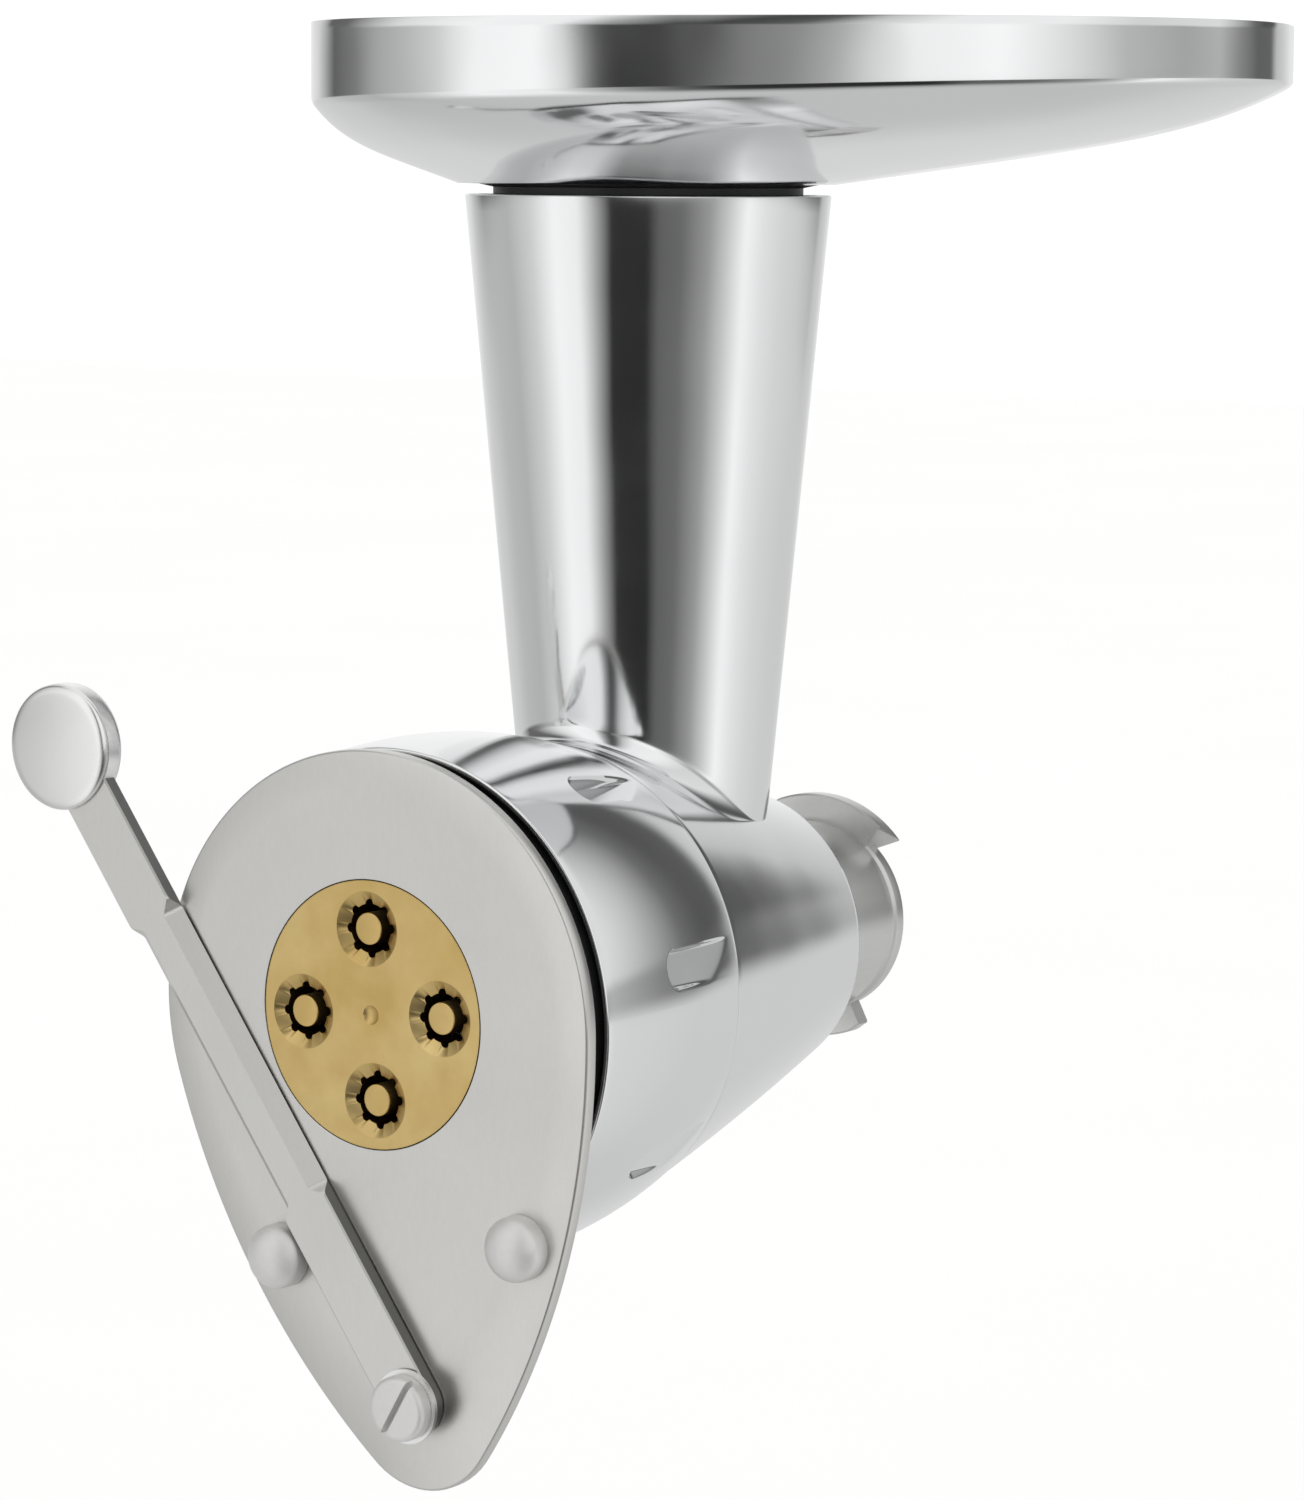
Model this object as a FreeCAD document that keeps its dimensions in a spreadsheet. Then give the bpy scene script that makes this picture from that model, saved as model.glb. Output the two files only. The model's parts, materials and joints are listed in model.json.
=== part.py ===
"""Mincer head of a kitchen machine, fitted with a pasta die and a swinging cutter.

Frame: millimetres, +Z up. The origin is the centre of the drive hub's rear face, and the
barrel axis is the Y axis: the hub faces +Y and the die faces -Y. Distances named "..._y" in
the sheet are measured forward from the origin, so they enter the model with a minus sign.
"""
import FreeCAD, Part
import Sketcher
import math
import os

Vector = FreeCAD.Vector
Rotation = FreeCAD.Rotation
Placement = FreeCAD.Placement

doc = FreeCAD.newDocument("MincerHead")
sheet = doc.addObject("Spreadsheet::Sheet", "Sizes")

SIZES = {
    # drive hub
    "hub_length": 24.4, "hub_radius": 17.4, "hub_spigot_radius": 14.0,
    "hub_spigot_length": 10.0, "hub_socket_radius": 13.5, "hub_socket_depth": 18.0,
    "lug_radius": 22.1, "lug_thickness": 3.2, "lug_span": 75.5, "lug_start": 42.0,
    # barrel housing
    "body_rear_radius": 24.0, "body_bulge_radius": 1200.0, "seam_y": 85.2,
    "seam_radius": 39.2, "neck_radius": 36.4, "neck_front_y": 114.0, "seat_gap": 0.1,
    "chamber_radius": 30.0, "chamber_taper_y": 78.0, "chamber_rear_y": 38.0,
    "chamber_rear_radius": 21.0, "throat_radius": 17.3,
    # feed tube
    "tube_y": 56.6, "tube_top_z": 129.8, "tube_top_radius": 31.0, "tube_taper": 0.095,
    "socket_radius": 26.6, "socket_depth": 22.0, "tube_bore_top_radius": 24.6,
    "tube_bore_base_radius": 17.5, "tube_base_z": 18.0,
    # shaft, bush and seal
    "shaft_radius": 6.0, "shaft_clearance": 0.05, "bush_radius": 9.0, "bush_front_y": 33.6,
    "tang_width": 6.4, "tang_length": 12.0, "shaft_rear_y": 2.0, "shaft_front_y": 58.0,
    "seal_length": 3.6, "washer_thickness": 1.6,
    # worm
    "worm_rear_y": 40.6, "worm_front_y": 111.0, "worm_clearance": 0.7,
    "worm_core_rear_radius": 9.0, "worm_core_front_radius": 13.5, "flight_pitch": 25.0,
    "flight_thickness": 3.4, "spigot_radius": 4.0, "spigot_front_y": 121.0,
    # ring nut
    "nut_gap": 0.2, "nut_rim_y": 126.6, "nut_rim_radius": 42.3, "nut_bulge_radius": 99.0,
    "nut_thread_radius": 36.7, "nut_lip_radius": 29.2, "nut_lip_thickness": 3.0,
    "nut_mouth_radius": 40.4, "nut_mouth_chamfer": 1.3, "grip_count": 8, "grip_width": 9.0,
    "grip_flat": 40.9, "grip_front_y": 106.6, "grip_angle": 11.0, "grip_tilt": 16.0,
    # die
    "die_flange_radius": 35.5, "die_flange_thickness": 5.0, "die_radius": 21.5,
    "die_recess_radius": 19.0, "die_wall": 7.2, "die_boss_radius": 6.6, "die_turn": 3.4,
    "hole_count": 4, "hole_circle": 13.8, "hole_radius": 3.75, "hole_lobe_radius": 0.75,
    "hole_lobes": 8, "countersink_radius": 5.95, "countersink_depth": 1.5,
    "seat_radius": 4.9, "seat_depth": 3.2, "mandrel_radius": 2.6, "leg_width": 1.6,
    "leg_thickness": 2.0, "key_radius": 1.5, "key_circle": 33.2, "key_clearance": 0.3,
    # cutter plate
    "plate_back_y": 130.0, "plate_thickness": 2.5, "plate_radius": 42.5,
    "plate_side_radius": 127.0, "plate_tip_radius": 14.5, "plate_window_radius": 21.8,
    "cutter_turn": 9.0, "pivot_drop": 62.4, "carrier_radius": 40.0,
    "carrier_bore_radius": 21.9, "carrier_sleeve_radius": 28.9, "carrier_screw_circle": 33.0,
    "rivet_side": 24.3, "rivet_drop": 38.0, "rivet_radius": 5.25, "rivet_rim": 2.2,
    "rivet_dome": 3.0, "rivet_shank_radius": 2.5, "rivet_tail_radius": 4.0,
    "rivet_tail_thickness": 1.2,
    # lever
    "lever_gap": 0.3, "lever_thickness": 2.5, "lever_width": 10.0, "lever_length": 123.8,
    "lever_angle": 26.9, "bevel_width": 2.4, "bevel_start": 36.0, "bevel_end": 92.0,
    "knob_radius": 10.5, "knob_thickness": 5.6, "knob_edge": 1.0, "screw_radius": 3.0,
    "screw_head_radius": 5.3, "screw_head_height": 2.7, "screw_slot_width": 1.3,
    "screw_slot_depth": 1.2, "screw_slot_turn": 60.0, "pivot_clearance": 0.1,
    "pivot_washer_radius": 6.0, "pivot_washer_thickness": 0.7, "pivot_nut_flats": 8.0,
    "pivot_nut_thickness": 3.0, "spring_washer_thickness": 0.8,
    # tray
    "pan_half_length": 81.5, "pan_half_width": 59.5, "pan_offset": 26.0, "pan_turn": 23.0,
    "pan_roundness": 2.5, "pan_rim_z": 158.0, "pan_crease_near_z": 145.5,
    "pan_crease_far_z": 150.3, "pan_floor_z": 131.5, "pan_floor_radius": 31.3,
    "pan_sheet": 1.2, "pan_hole_radius": 24.0, "tray_spigot_radius": 26.2,
    "tray_spigot_base_z": 108.4, "tray_collar_rise": 0.6, "tray_flange_radius": 29.0,
    "ring_groove_z": 117.0, "ring_section": 0.9, "ring_groove_radius": 24.9,
}
for row, (alias, size) in enumerate(SIZES.items(), start=1):
    sheet.set("A%d" % row, alias)
    sheet.set("B%d" % row, str(size))
    sheet.setAlias("B%d" % row, alias)
doc.recompute()


class Expression:
    """A formula over the sheet's aliases, written with plain alias words."""

    def __init__(self, words):
        tokens = str(words).replace("(", " ( ").replace(")", " ) ").split()
        self.text = " ".join("Sizes." + token if token in SIZES else token for token in tokens)
        self.text = self.text.replace("cos (", "cos(")

    def number(self):
        result = sheet.evalExpression(self.text)
        return float(getattr(result, "Value", result))


def number(words):
    return Expression(words).number()


def bind(item, field, words):
    item.setExpression(field, Expression(words).text)


def origin_plane(body, role):
    return next(plane for plane in body.Origin.OriginFeatures if plane.Role == role)


def new_body(label):
    body = doc.addObject("PartDesign::Body", label)
    body.Label = label
    return body


def new_sketch(body, role, suffix):
    sketch = body.newObject("Sketcher::SketchObject", body.Label + "_" + suffix)
    sketch.AttachmentSupport = (origin_plane(body, role), [""])
    sketch.MapMode = "FlatFace"
    return sketch


def pin_point(sketch, geometry, position, across, up):
    """Ties one end of a line or arc to a place given by two formulas."""
    for kind, words in (("DistanceX", across), ("DistanceY", up)):
        index = sketch.addConstraint(
            Sketcher.Constraint(kind, -1, 1, geometry, position, number(words)))
        bind(sketch, "Constraints[%d]" % index, words)


def draw_outline(sketch, corners):
    """A closed outline. A corner is (across, up), or (across, up, radius) where the edge
    that leaves it is an arc bulging to the right of the way round."""
    places = [Vector(number(corner[0]), number(corner[1]), 0) for corner in corners]
    for index, corner in enumerate(corners):
        here, there = places[index], places[(index + 1) % len(corners)]
        if len(corner) == 2:
            sketch.addGeometry(Part.LineSegment(here, there))
            continue
        radius = number(corner[2])
        chord = there - here
        side = Vector(chord.y, -chord.x, 0).normalize()
        rise = radius - math.sqrt(radius ** 2 - chord.Length ** 2 / 4)
        middle = here + chord * 0.5 + side * rise
        sketch.addGeometry(Part.Arc(here, middle, there))
        index_radius = sketch.addConstraint(
            Sketcher.Constraint("Radius", index, radius))
        bind(sketch, "Constraints[%d]" % index_radius, corner[2])
    for index, corner in enumerate(corners):
        start, _ = edge_ends(sketch, index, places[index])
        pin_point(sketch, index, start, corner[0], corner[1])
        following = (index + 1) % len(corners)
        _, end = edge_ends(sketch, index, places[index])
        next_start, _ = edge_ends(sketch, following, places[following])
        sketch.addConstraint(Sketcher.Constraint("Coincident", index, end, following, next_start))


def edge_ends(sketch, index, place):
    """Which end of an edge (1 or 2) lies at the place, and which is the other."""
    edge = sketch.Geometry[index]
    return (1, 2) if edge.StartPoint.distanceToPoint(place) < 1e-6 else (2, 1)


def turned(label, corners, role="YZ_Plane", axis="H_Axis"):
    """A piece made on a lathe. On YZ_Plane the outline is (y, radius) about the Y axis."""
    body = new_body(label)
    sketch = new_sketch(body, role, "profile")
    draw_outline(sketch, corners)
    revolution = body.newObject("PartDesign::Revolution", label + "_turned")
    revolution.Profile = sketch
    revolution.ReferenceAxis = (sketch, [axis])
    revolution.Angle = 360
    doc.recompute()
    return body


def turned_upright(label, corners):
    """A lathe piece about the Z axis: the outline is (radius, z)."""
    return turned(label, corners, role="XZ_Plane", axis="V_Axis")


def set_place(item, x="0", y="0", z="0", turn=None):
    item.Placement = Placement(Vector(), turn or Rotation())
    for field, words in (("x", x), ("y", y), ("z", z)):
        if words != "0":
            bind(item, "Placement.Base." + field, words)


def bar(label, radius, length, x="0", y="0", z="0", turn=Rotation(Vector(1, 0, 0), -90)):
    """A round bar that grows from its place along +Y, unless turned otherwise."""
    cylinder = doc.addObject("Part::Cylinder", label)
    bind(cylinder, "Radius", radius)
    bind(cylinder, "Height", length)
    set_place(cylinder, x, y, z, turn)
    return cylinder


def block(label, length, width, height, x="0", y="0", z="0", turn=None):
    box = doc.addObject("Part::Box", label)
    for field, words in (("Length", length), ("Width", width), ("Height", height)):
        bind(box, field, words)
    set_place(box, x, y, z, turn)
    return box


def cut(label, base, tool):
    item = doc.addObject("Part::Cut", label)
    item.Base, item.Tool = base, tool
    item.Label = label
    return item


def fuse(label, *shapes):
    item = doc.addObject("Part::MultiFuse", label)
    item.Shapes = list(shapes)
    item.Label = label
    return item


def shaped(label, shape):
    """A sub-part whose shape is made with Part's own functions."""
    item = doc.addObject("Part::Feature", label)
    item.Label = label
    item.Shape = shape
    return item


def front_angle(degrees):
    """The turn about the barrel axis, counter-clockwise as seen from the front."""
    return Rotation(Vector(0, -1, 0), degrees)


UPRIGHT = Rotation()
Y_AXIS = Vector(0, 1, 0)
ALONG_Y = Rotation(Vector(1, 0, 0), -90)


# ---------------------------------------------------------------- drive hub
def make_hub_collar():
    """Collar with two bayonet lugs, pressed into the housing by a spigot."""
    sleeve = bar("hub_sleeve", "hub_radius", "hub_length", y="- hub_length")
    spigot = bar("hub_spigot", "hub_spigot_radius", "hub_spigot_length",
                 y="- ( hub_length + hub_spigot_length )")
    lugs = []
    for index in range(2):
        lug = bar("lug_%d" % index, "lug_radius", "lug_thickness", y="- lug_thickness")
        bind(lug, "Angle", "lug_span")
        start = number("lug_start") + number("lug_span") + 180 * index
        lug.Placement.Rotation = ALONG_Y.multiply(Rotation(Vector(0, 0, 1), -start))
        bind(lug, "Placement.Base.y", "- lug_thickness")
        lugs.append(lug)
    outside = fuse("hub_outside", sleeve, spigot, *lugs)
    socket = bar("hub_socket", "hub_socket_radius", "hub_socket_depth + 1",
                 y="- hub_socket_depth")
    bore = bar("hub_bore", "bush_radius", "hub_length + hub_spigot_length + 2",
               y="- ( hub_length + hub_spigot_length + 1 )")
    return cut("hub_collar", outside, fuse("hub_inside", socket, bore))


def make_rear_bush():
    """Bronze bush that carries the drive shaft."""
    return turned("rear_bush", [
        ("- bush_front_y", "shaft_radius + shaft_clearance"),
        ("- bush_front_y", "bush_radius"),
        ("- ( hub_socket_depth + 1 )", "bush_radius"),
        ("- ( hub_socket_depth + 1 )", "shaft_radius + shaft_clearance")])


def make_shaft_seal():
    """Rubber seal between the bush and the chamber."""
    return turned("shaft_seal", [
        ("- chamber_rear_y", "shaft_radius + shaft_clearance"),
        ("- chamber_rear_y", "hub_spigot_radius"),
        ("- ( chamber_rear_y - seal_length )", "hub_spigot_radius"),
        ("- ( chamber_rear_y - seal_length )", "shaft_radius + shaft_clearance")])


# ---------------------------------------------------------------- barrel and feed tube
def make_barrel_housing():
    """Conical casting with a threaded neck, a tapering chamber and a feed throat."""
    casting = turned("housing_casting", [
        ("- hub_length", "hub_spigot_radius"),
        ("- hub_length", "body_rear_radius - 2"),
        ("- ( hub_length + 0.6 )", "body_rear_radius - 0.6"),
        ("- ( hub_length + 2 )", "body_rear_radius + 0.5", "body_bulge_radius"),
        ("- seam_y", "seam_radius"),
        ("- seam_y", "neck_radius"),
        ("- ( neck_front_y - seat_gap )", "neck_radius"),
        ("- ( neck_front_y - seat_gap )", "chamber_radius"),
        ("- chamber_taper_y", "chamber_radius"),
        ("- chamber_rear_y", "chamber_rear_radius"),
        ("- chamber_rear_y", "hub_spigot_radius")])
    throat = bar("feed_throat", "throat_radius", "60", y="- tube_y", turn=UPRIGHT)
    key_hole = bar("key_hole", "key_radius", "6", y="- neck_front_y", z="key_circle")
    return cut("barrel_housing", casting, fuse("housing_cuts", throat, key_hole))


def make_key_pin():
    """Dowel in the neck's front face that stops the die from turning."""
    return bar("key_pin", "key_radius", "9", y="- ( neck_front_y + 3 )", z="key_circle")


def make_feed_tube():
    """Tapered tube whose foot is trimmed to the barrel, with a straight socket at its mouth."""
    wall = turned_upright("tube_wall", [
        ("tube_bore_base_radius", "tube_base_z"),
        ("tube_top_radius - tube_taper * ( tube_top_z - tube_base_z )", "tube_base_z"),
        ("tube_top_radius - 0.4", "tube_top_z - 0.4"),
        ("tube_top_radius - 0.8", "tube_top_z"),
        ("socket_radius", "tube_top_z"),
        ("socket_radius", "tube_top_z - socket_depth"),
        ("tube_bore_top_radius", "tube_top_z - socket_depth")])
    set_place(wall, y="- tube_y")
    barrel = turned("barrel_envelope", [
        ("- ( hub_length + 2 )", "0"),
        ("- ( hub_length + 2 )", "body_rear_radius + 0.5", "body_bulge_radius"),
        ("- seam_y", "seam_radius"),
        ("- seam_y", "0")])
    return cut("feed_tube", wall, barrel)


# ---------------------------------------------------------------- worm
def make_drive_shaft():
    """Steel shaft with two flats at its rear end for the machine's drive."""
    shaft = bar("shaft_bar", "shaft_radius", "shaft_front_y - shaft_rear_y", y="- shaft_front_y")
    flats = []
    for index, x in enumerate(("tang_width / 2", "- ( tang_width / 2 + 10 )")):
        flats.append(block("shaft_flat_%d" % index, "10", "tang_length + 1", "20", x=x,
                           y="- ( shaft_rear_y + tang_length )", z="- 10"))
    return cut("drive_shaft", shaft, fuse("shaft_flats", *flats))


def make_thrust_washer():
    """Washer that takes the worm's push."""
    return turned("thrust_washer", [
        ("- ( chamber_rear_y + 0.4 + washer_thickness )", "shaft_radius + shaft_clearance"),
        ("- ( chamber_rear_y + 0.4 + washer_thickness )", "hub_spigot_radius - 2"),
        ("- ( chamber_rear_y + 0.4 )", "hub_spigot_radius - 2"),
        ("- ( chamber_rear_y + 0.4 )", "shaft_radius + shaft_clearance")])


def worm_envelope():
    """Solid of revolution that the flight may fill: the chamber less a clearance."""
    gap = number("worm_clearance")
    outline = [
        (-number("worm_front_y"), 0),
        (-number("worm_front_y"), number("chamber_radius") - gap),
        (-number("chamber_taper_y"), number("chamber_radius") - gap),
        (-number("worm_rear_y"), number("chamber_rear_radius") - gap),
        (-number("worm_rear_y"), 0)]
    points = [Vector(0, y, radius) for y, radius in outline]
    return Part.Face(Part.makePolygon(points + points[:1])).revolve(Vector(), Y_AXIS, 360)


def flight_turn():
    """One turn of the helical flight about Z, thicker at its root than at its rim."""
    reach, half = number("chamber_radius"), number("flight_thickness") / 2
    root, pitch = number("worm_core_rear_radius") - 3, number("flight_pitch")
    corners = [Vector(root, 0, -half), Vector(reach, 0, -half * 0.7),
               Vector(reach, 0, half * 0.7), Vector(root, 0, half)]
    section = Part.makePolygon(corners + corners[:1])
    path = Part.makeHelix(pitch, pitch, (root + reach) / 2)
    return Part.Wire(path.Edges).makePipeShell([section], True, True)


def make_worm():
    """Screw that feeds the dough forward: a tapered core with one helical flight."""
    rear, pitch = -number("worm_rear_y"), number("flight_pitch")
    length = number("worm_front_y - worm_rear_y")
    core = Part.makeCone(
        number("worm_core_rear_radius"), number("worm_core_front_radius"), length,
        Vector(0, rear, 0), -Y_AXIS)
    envelope = worm_envelope()
    screw = core
    for index in range(math.ceil(length / pitch) + 1):
        turn = flight_turn()
        start = rear + pitch * (0.5 - index)
        turn.Placement = Placement(Vector(0, start, 0), Rotation(Vector(1, 0, 0), 90))
        for piece in turn.common(envelope).Solids:
            screw = screw.fuse(piece)
    shaft_hole = Part.makeCylinder(
        number("shaft_radius"), number("shaft_front_y"), Vector(), -Y_AXIS)
    nose_hole = Part.makeCylinder(
        number("spigot_radius"), 20, Vector(0, -number("worm_front_y") + 12, 0), -Y_AXIS)
    screw = screw.cut([shaft_hole, nose_hole])
    return shaped("worm_screw", screw.removeSplitter())


def make_worm_spigot():
    """Steel pin in the worm's nose that runs in the die."""
    return bar("worm_spigot", "spigot_radius", "spigot_front_y - worm_front_y + 12",
               y="- spigot_front_y")


# ---------------------------------------------------------------- ring nut
def make_ring_nut():
    """Bulged ring that screws on to the neck, with tilted flats milled as finger grips."""
    ring = turned("nut_ring", [
        ("- ( seam_y + nut_gap )", "nut_thread_radius"),
        ("- ( seam_y + nut_gap )", "seam_radius - 0.3"),
        ("- ( seam_y + nut_gap + 0.3 )", "seam_radius", "nut_bulge_radius"),
        ("- ( nut_rim_y - 0.5 )", "nut_rim_radius + 0.1"),
        ("- nut_rim_y", "nut_rim_radius - 0.3"),
        ("- nut_rim_y", "nut_mouth_radius + nut_mouth_chamfer - 0.1"),
        ("- ( nut_rim_y - nut_mouth_chamfer )", "nut_mouth_radius"),
        ("- ( neck_front_y + die_flange_thickness + nut_gap + nut_lip_thickness )",
         "nut_mouth_radius"),
        ("- ( neck_front_y + die_flange_thickness + nut_gap + nut_lip_thickness )",
         "nut_lip_radius"),
        ("- ( neck_front_y + die_flange_thickness + nut_gap )", "nut_lip_radius"),
        ("- ( neck_front_y + die_flange_thickness + nut_gap )", "nut_thread_radius")])
    width, depth = number("grip_width"), 10
    reach = number("grip_front_y - seam_y") + 5
    grips = []
    for index in range(int(number("grip_count"))):
        end = Part.makeCylinder(width / 2, depth, Vector(0, width / 2, 0))
        slot = Part.makeBox(width, reach, depth, Vector(-width / 2, width / 2, 0))
        grip = end.fuse(slot)
        grip.rotate(Vector(), -Y_AXIS, number("grip_tilt"))
        grip.translate(Vector(0, -number("grip_front_y"), number("grip_flat")))
        angle = number("grip_angle") - 90 + index * 360 / number("grip_count")
        grip.rotate(Vector(), -Y_AXIS, angle)
        grips.append(grip)
    tool = shaped("nut_grips", Part.makeCompound(grips))
    return cut("ring_nut", ring, tool)


# ---------------------------------------------------------------- die
def station_angles():
    """Directions of the die's holes, counter-clockwise from +X as seen from the front."""
    count = int(number("hole_count"))
    return [number("die_turn") + index * 360 / count for index in range(count)]


def on_circle(radius, degrees, y):
    angle = math.radians(degrees)
    return Vector(radius * math.cos(angle), y, radius * math.sin(angle))


def make_die_plate():
    """Brass die: a flange clamped by the nut, and a nose with four lobed holes."""
    face = "plate_back_y + plate_thickness"
    blank = turned("die_blank", [
        ("- neck_front_y", "die_boss_radius + 2"),
        ("- neck_front_y", "die_flange_radius"),
        ("- ( neck_front_y + die_flange_thickness )", "die_flange_radius"),
        ("- ( neck_front_y + die_flange_thickness )", "die_radius"),
        ("- ( %s )" % face, "die_radius"),
        ("- ( %s )" % face, "0"),
        ("- ( %s - die_wall + 3 )" % face, "0"),
        ("- ( %s - die_wall + 3 )" % face, "spigot_radius + 1.6"),
        ("- ( neck_front_y + 2 )", "spigot_radius + 1.6"),
        ("- ( neck_front_y + 2 )", "die_boss_radius + 2")])
    front = -number(face)
    wall = number("die_wall")
    tools = []
    feed = Part.makeCylinder(number("die_recess_radius"), 40, Vector(0, front + wall, 0), Y_AXIS)
    boss = Part.makeCylinder(number("die_boss_radius") + 2, 40, Vector(0, front + wall, 0), Y_AXIS)
    tools.append(feed.cut(boss))
    for degrees in station_angles():
        centre = on_circle(number("hole_circle"), degrees, front)
        tools.append(Part.makeCylinder(number("hole_radius"), wall + 2, centre - Y_AXIS, Y_AXIS))
        tools.append(Part.makeCone(
            number("countersink_radius") + 0.4, number("hole_radius") + 0.4,
            number("countersink_depth") + 0.3, centre - Y_AXIS * 0.3, Y_AXIS))
        seat = centre + Y_AXIS * (wall - number("seat_depth"))
        tools.append(Part.makeCylinder(number("seat_radius"), 10, seat, Y_AXIS))
        for lobe in range(int(number("hole_lobes"))):
            turn = degrees + lobe * 360 / number("hole_lobes")
            place = centre + on_circle(number("hole_radius"), turn, -1)
            tools.append(Part.makeCylinder(number("hole_lobe_radius"), wall + 2, place, Y_AXIS))
    key = on_circle(number("key_circle"), 90, -number("neck_front_y") + 1)
    tools.append(Part.makeCylinder(number("key_radius + key_clearance"), 12, key, -Y_AXIS))
    return cut("die_plate", blank, shaped("die_cuts", tools[0].multiFuse(tools[1:])))


def make_die_mandrels():
    """Pins that stand in the holes, each held by a three-legged spider behind the wall."""
    front = -number("plate_back_y + plate_thickness") + 0.4
    wall, thick = number("die_wall"), number("leg_thickness")
    seat = front - 0.4 + wall - number("seat_depth")
    mandrels = []
    for degrees in station_angles():
        centre = on_circle(number("hole_circle"), degrees, 0)
        pin = Part.makeCylinder(number("mandrel_radius"), seat + thick - front,
                                centre + Vector(0, front, 0), Y_AXIS)
        rim = Part.makeCylinder(number("seat_radius"), thick, centre + Vector(0, seat, 0), Y_AXIS)
        rim = rim.cut(Part.makeCylinder(
            number("seat_radius") - 0.7, thick, centre + Vector(0, seat, 0), Y_AXIS))
        pieces = [rim]
        for leg in range(3):
            arm = Part.makeBox(number("seat_radius") - 0.3, thick, number("leg_width"),
                               Vector(0, 0, -number("leg_width") / 2))
            arm.rotate(Vector(), Vector(0, -1, 0), degrees + 120 * leg)
            arm.translate(centre + Vector(0, seat, 0))
            pieces.append(arm)
        mandrels.append(pin.multiFuse(pieces).removeSplitter())
    return shaped("die_mandrels", Part.makeCompound(mandrels))


def make_die_bush():
    """Plastic bush in the back of the die for the worm's spigot."""
    return turned("die_bush", [
        ("- ( neck_front_y + 2 )", "spigot_radius + shaft_clearance"),
        ("- ( neck_front_y + 2 )", "spigot_radius + 1.6"),
        ("- ( spigot_front_y + 0.5 )", "spigot_radius + 1.6"),
        ("- ( spigot_front_y + 0.5 )", "spigot_radius + shaft_clearance")])


# ---------------------------------------------------------------- cutter plate
def plate_outline():
    """Egg outline in (x, z): a big arc on the axis, a tip arc on the pivot and two long arcs
    that touch both from outside."""
    big, tip = number("plate_radius"), number("plate_tip_radius")
    side, drop = number("plate_side_radius"), number("pivot_drop")
    reach_big, reach_tip = side - big, side - tip
    centre_z = (reach_tip ** 2 - reach_big ** 2 - drop ** 2) / (2 * drop)
    centre_x = -math.sqrt(reach_big ** 2 - centre_z ** 2)
    centre = Vector(centre_x, 0, centre_z)
    pivot = Vector(0, 0, -drop)
    upper = (Vector() - centre).normalize() * side + centre
    lower = (pivot - centre).normalize() * side + centre
    middle = ((upper + lower) * 0.5 - centre).normalize() * side + centre

    def mirrored(point):
        return Vector(-point.x, point.y, point.z)

    return Part.Wire([
        Part.Arc(mirrored(upper), Vector(0, 0, big), upper).toShape(),
        Part.Arc(upper, middle, lower).toShape(),
        Part.Arc(lower, pivot + Vector(0, 0, -tip), mirrored(lower)).toShape(),
        Part.Arc(mirrored(lower), mirrored(middle), mirrored(upper)).toShape()])


def cutter_placement(y=0.0):
    return Placement(Vector(0, y, 0), front_angle(number("cutter_turn")))


def make_cutter_plate():
    """Stainless plate that the lever sweeps, with a window for the die's nose."""
    thickness = number("plate_thickness")
    sheet_metal = Part.Face(plate_outline()).extrude(Vector(0, -thickness, 0))
    edges = [edge for edge in sheet_metal.Edges
             if abs(edge.BoundBox.YMax + thickness) < 1e-6]
    sheet_metal = sheet_metal.makeFillet(0.5, edges)
    pivot = Vector(0, 0, -number("pivot_drop"))
    holes = [Part.makeCylinder(number("plate_window_radius"), 10, Vector(0, -6, 0), Y_AXIS),
             Part.makeCylinder(number("screw_radius"), 10, pivot - Y_AXIS * 6, Y_AXIS)]
    for side in (-1, 1):
        place = Vector(side * number("rivet_side"), -6, -number("rivet_drop"))
        holes.append(Part.makeCylinder(number("rivet_shank_radius"), 10, place, Y_AXIS))
    for place in carrier_screw_places():
        holes.append(Part.makeCylinder(1.5, 2, place - Y_AXIS * 1.5, Y_AXIS))
    plate = shaped("cutter_plate", sheet_metal.cut(holes))
    plate.Placement = cutter_placement(-number("plate_back_y"))
    return plate


def carrier_screw_places():
    """Three screw places behind the plate, in the plate's own frame."""
    return [on_circle(number("carrier_screw_circle"), 90 + 120 * index, 0) for index in range(3)]


def make_carrier_ring():
    """Black plastic ring that centres the cutter in the nut's mouth and on the die."""
    ledge = "neck_front_y + die_flange_thickness + nut_gap + nut_lip_thickness + 0.3"
    ring = turned("carrier_blank", [
        ("- plate_back_y", "carrier_bore_radius"),
        ("- plate_back_y", "carrier_radius"),
        ("- ( %s )" % ledge, "carrier_radius"),
        ("- ( %s )" % ledge, "carrier_sleeve_radius"),
        ("- ( neck_front_y + die_flange_thickness + 0.5 )", "carrier_sleeve_radius"),
        ("- ( neck_front_y + die_flange_thickness + 0.5 )", "carrier_bore_radius")])
    turn = front_angle(number("cutter_turn"))
    bores = []
    for place in carrier_screw_places():
        spot = turn.multVec(place) + Vector(0, -number("plate_back_y"), 0)
        bores.append(Part.makeCylinder(1.7, 12, spot - Y_AXIS, Y_AXIS))
        bores.append(Part.makeCylinder(3.0, 12, spot + Y_AXIS * 4.4, Y_AXIS))
    return cut("carrier_ring", ring, shaped("carrier_bores", Part.makeCompound(bores)))


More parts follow.
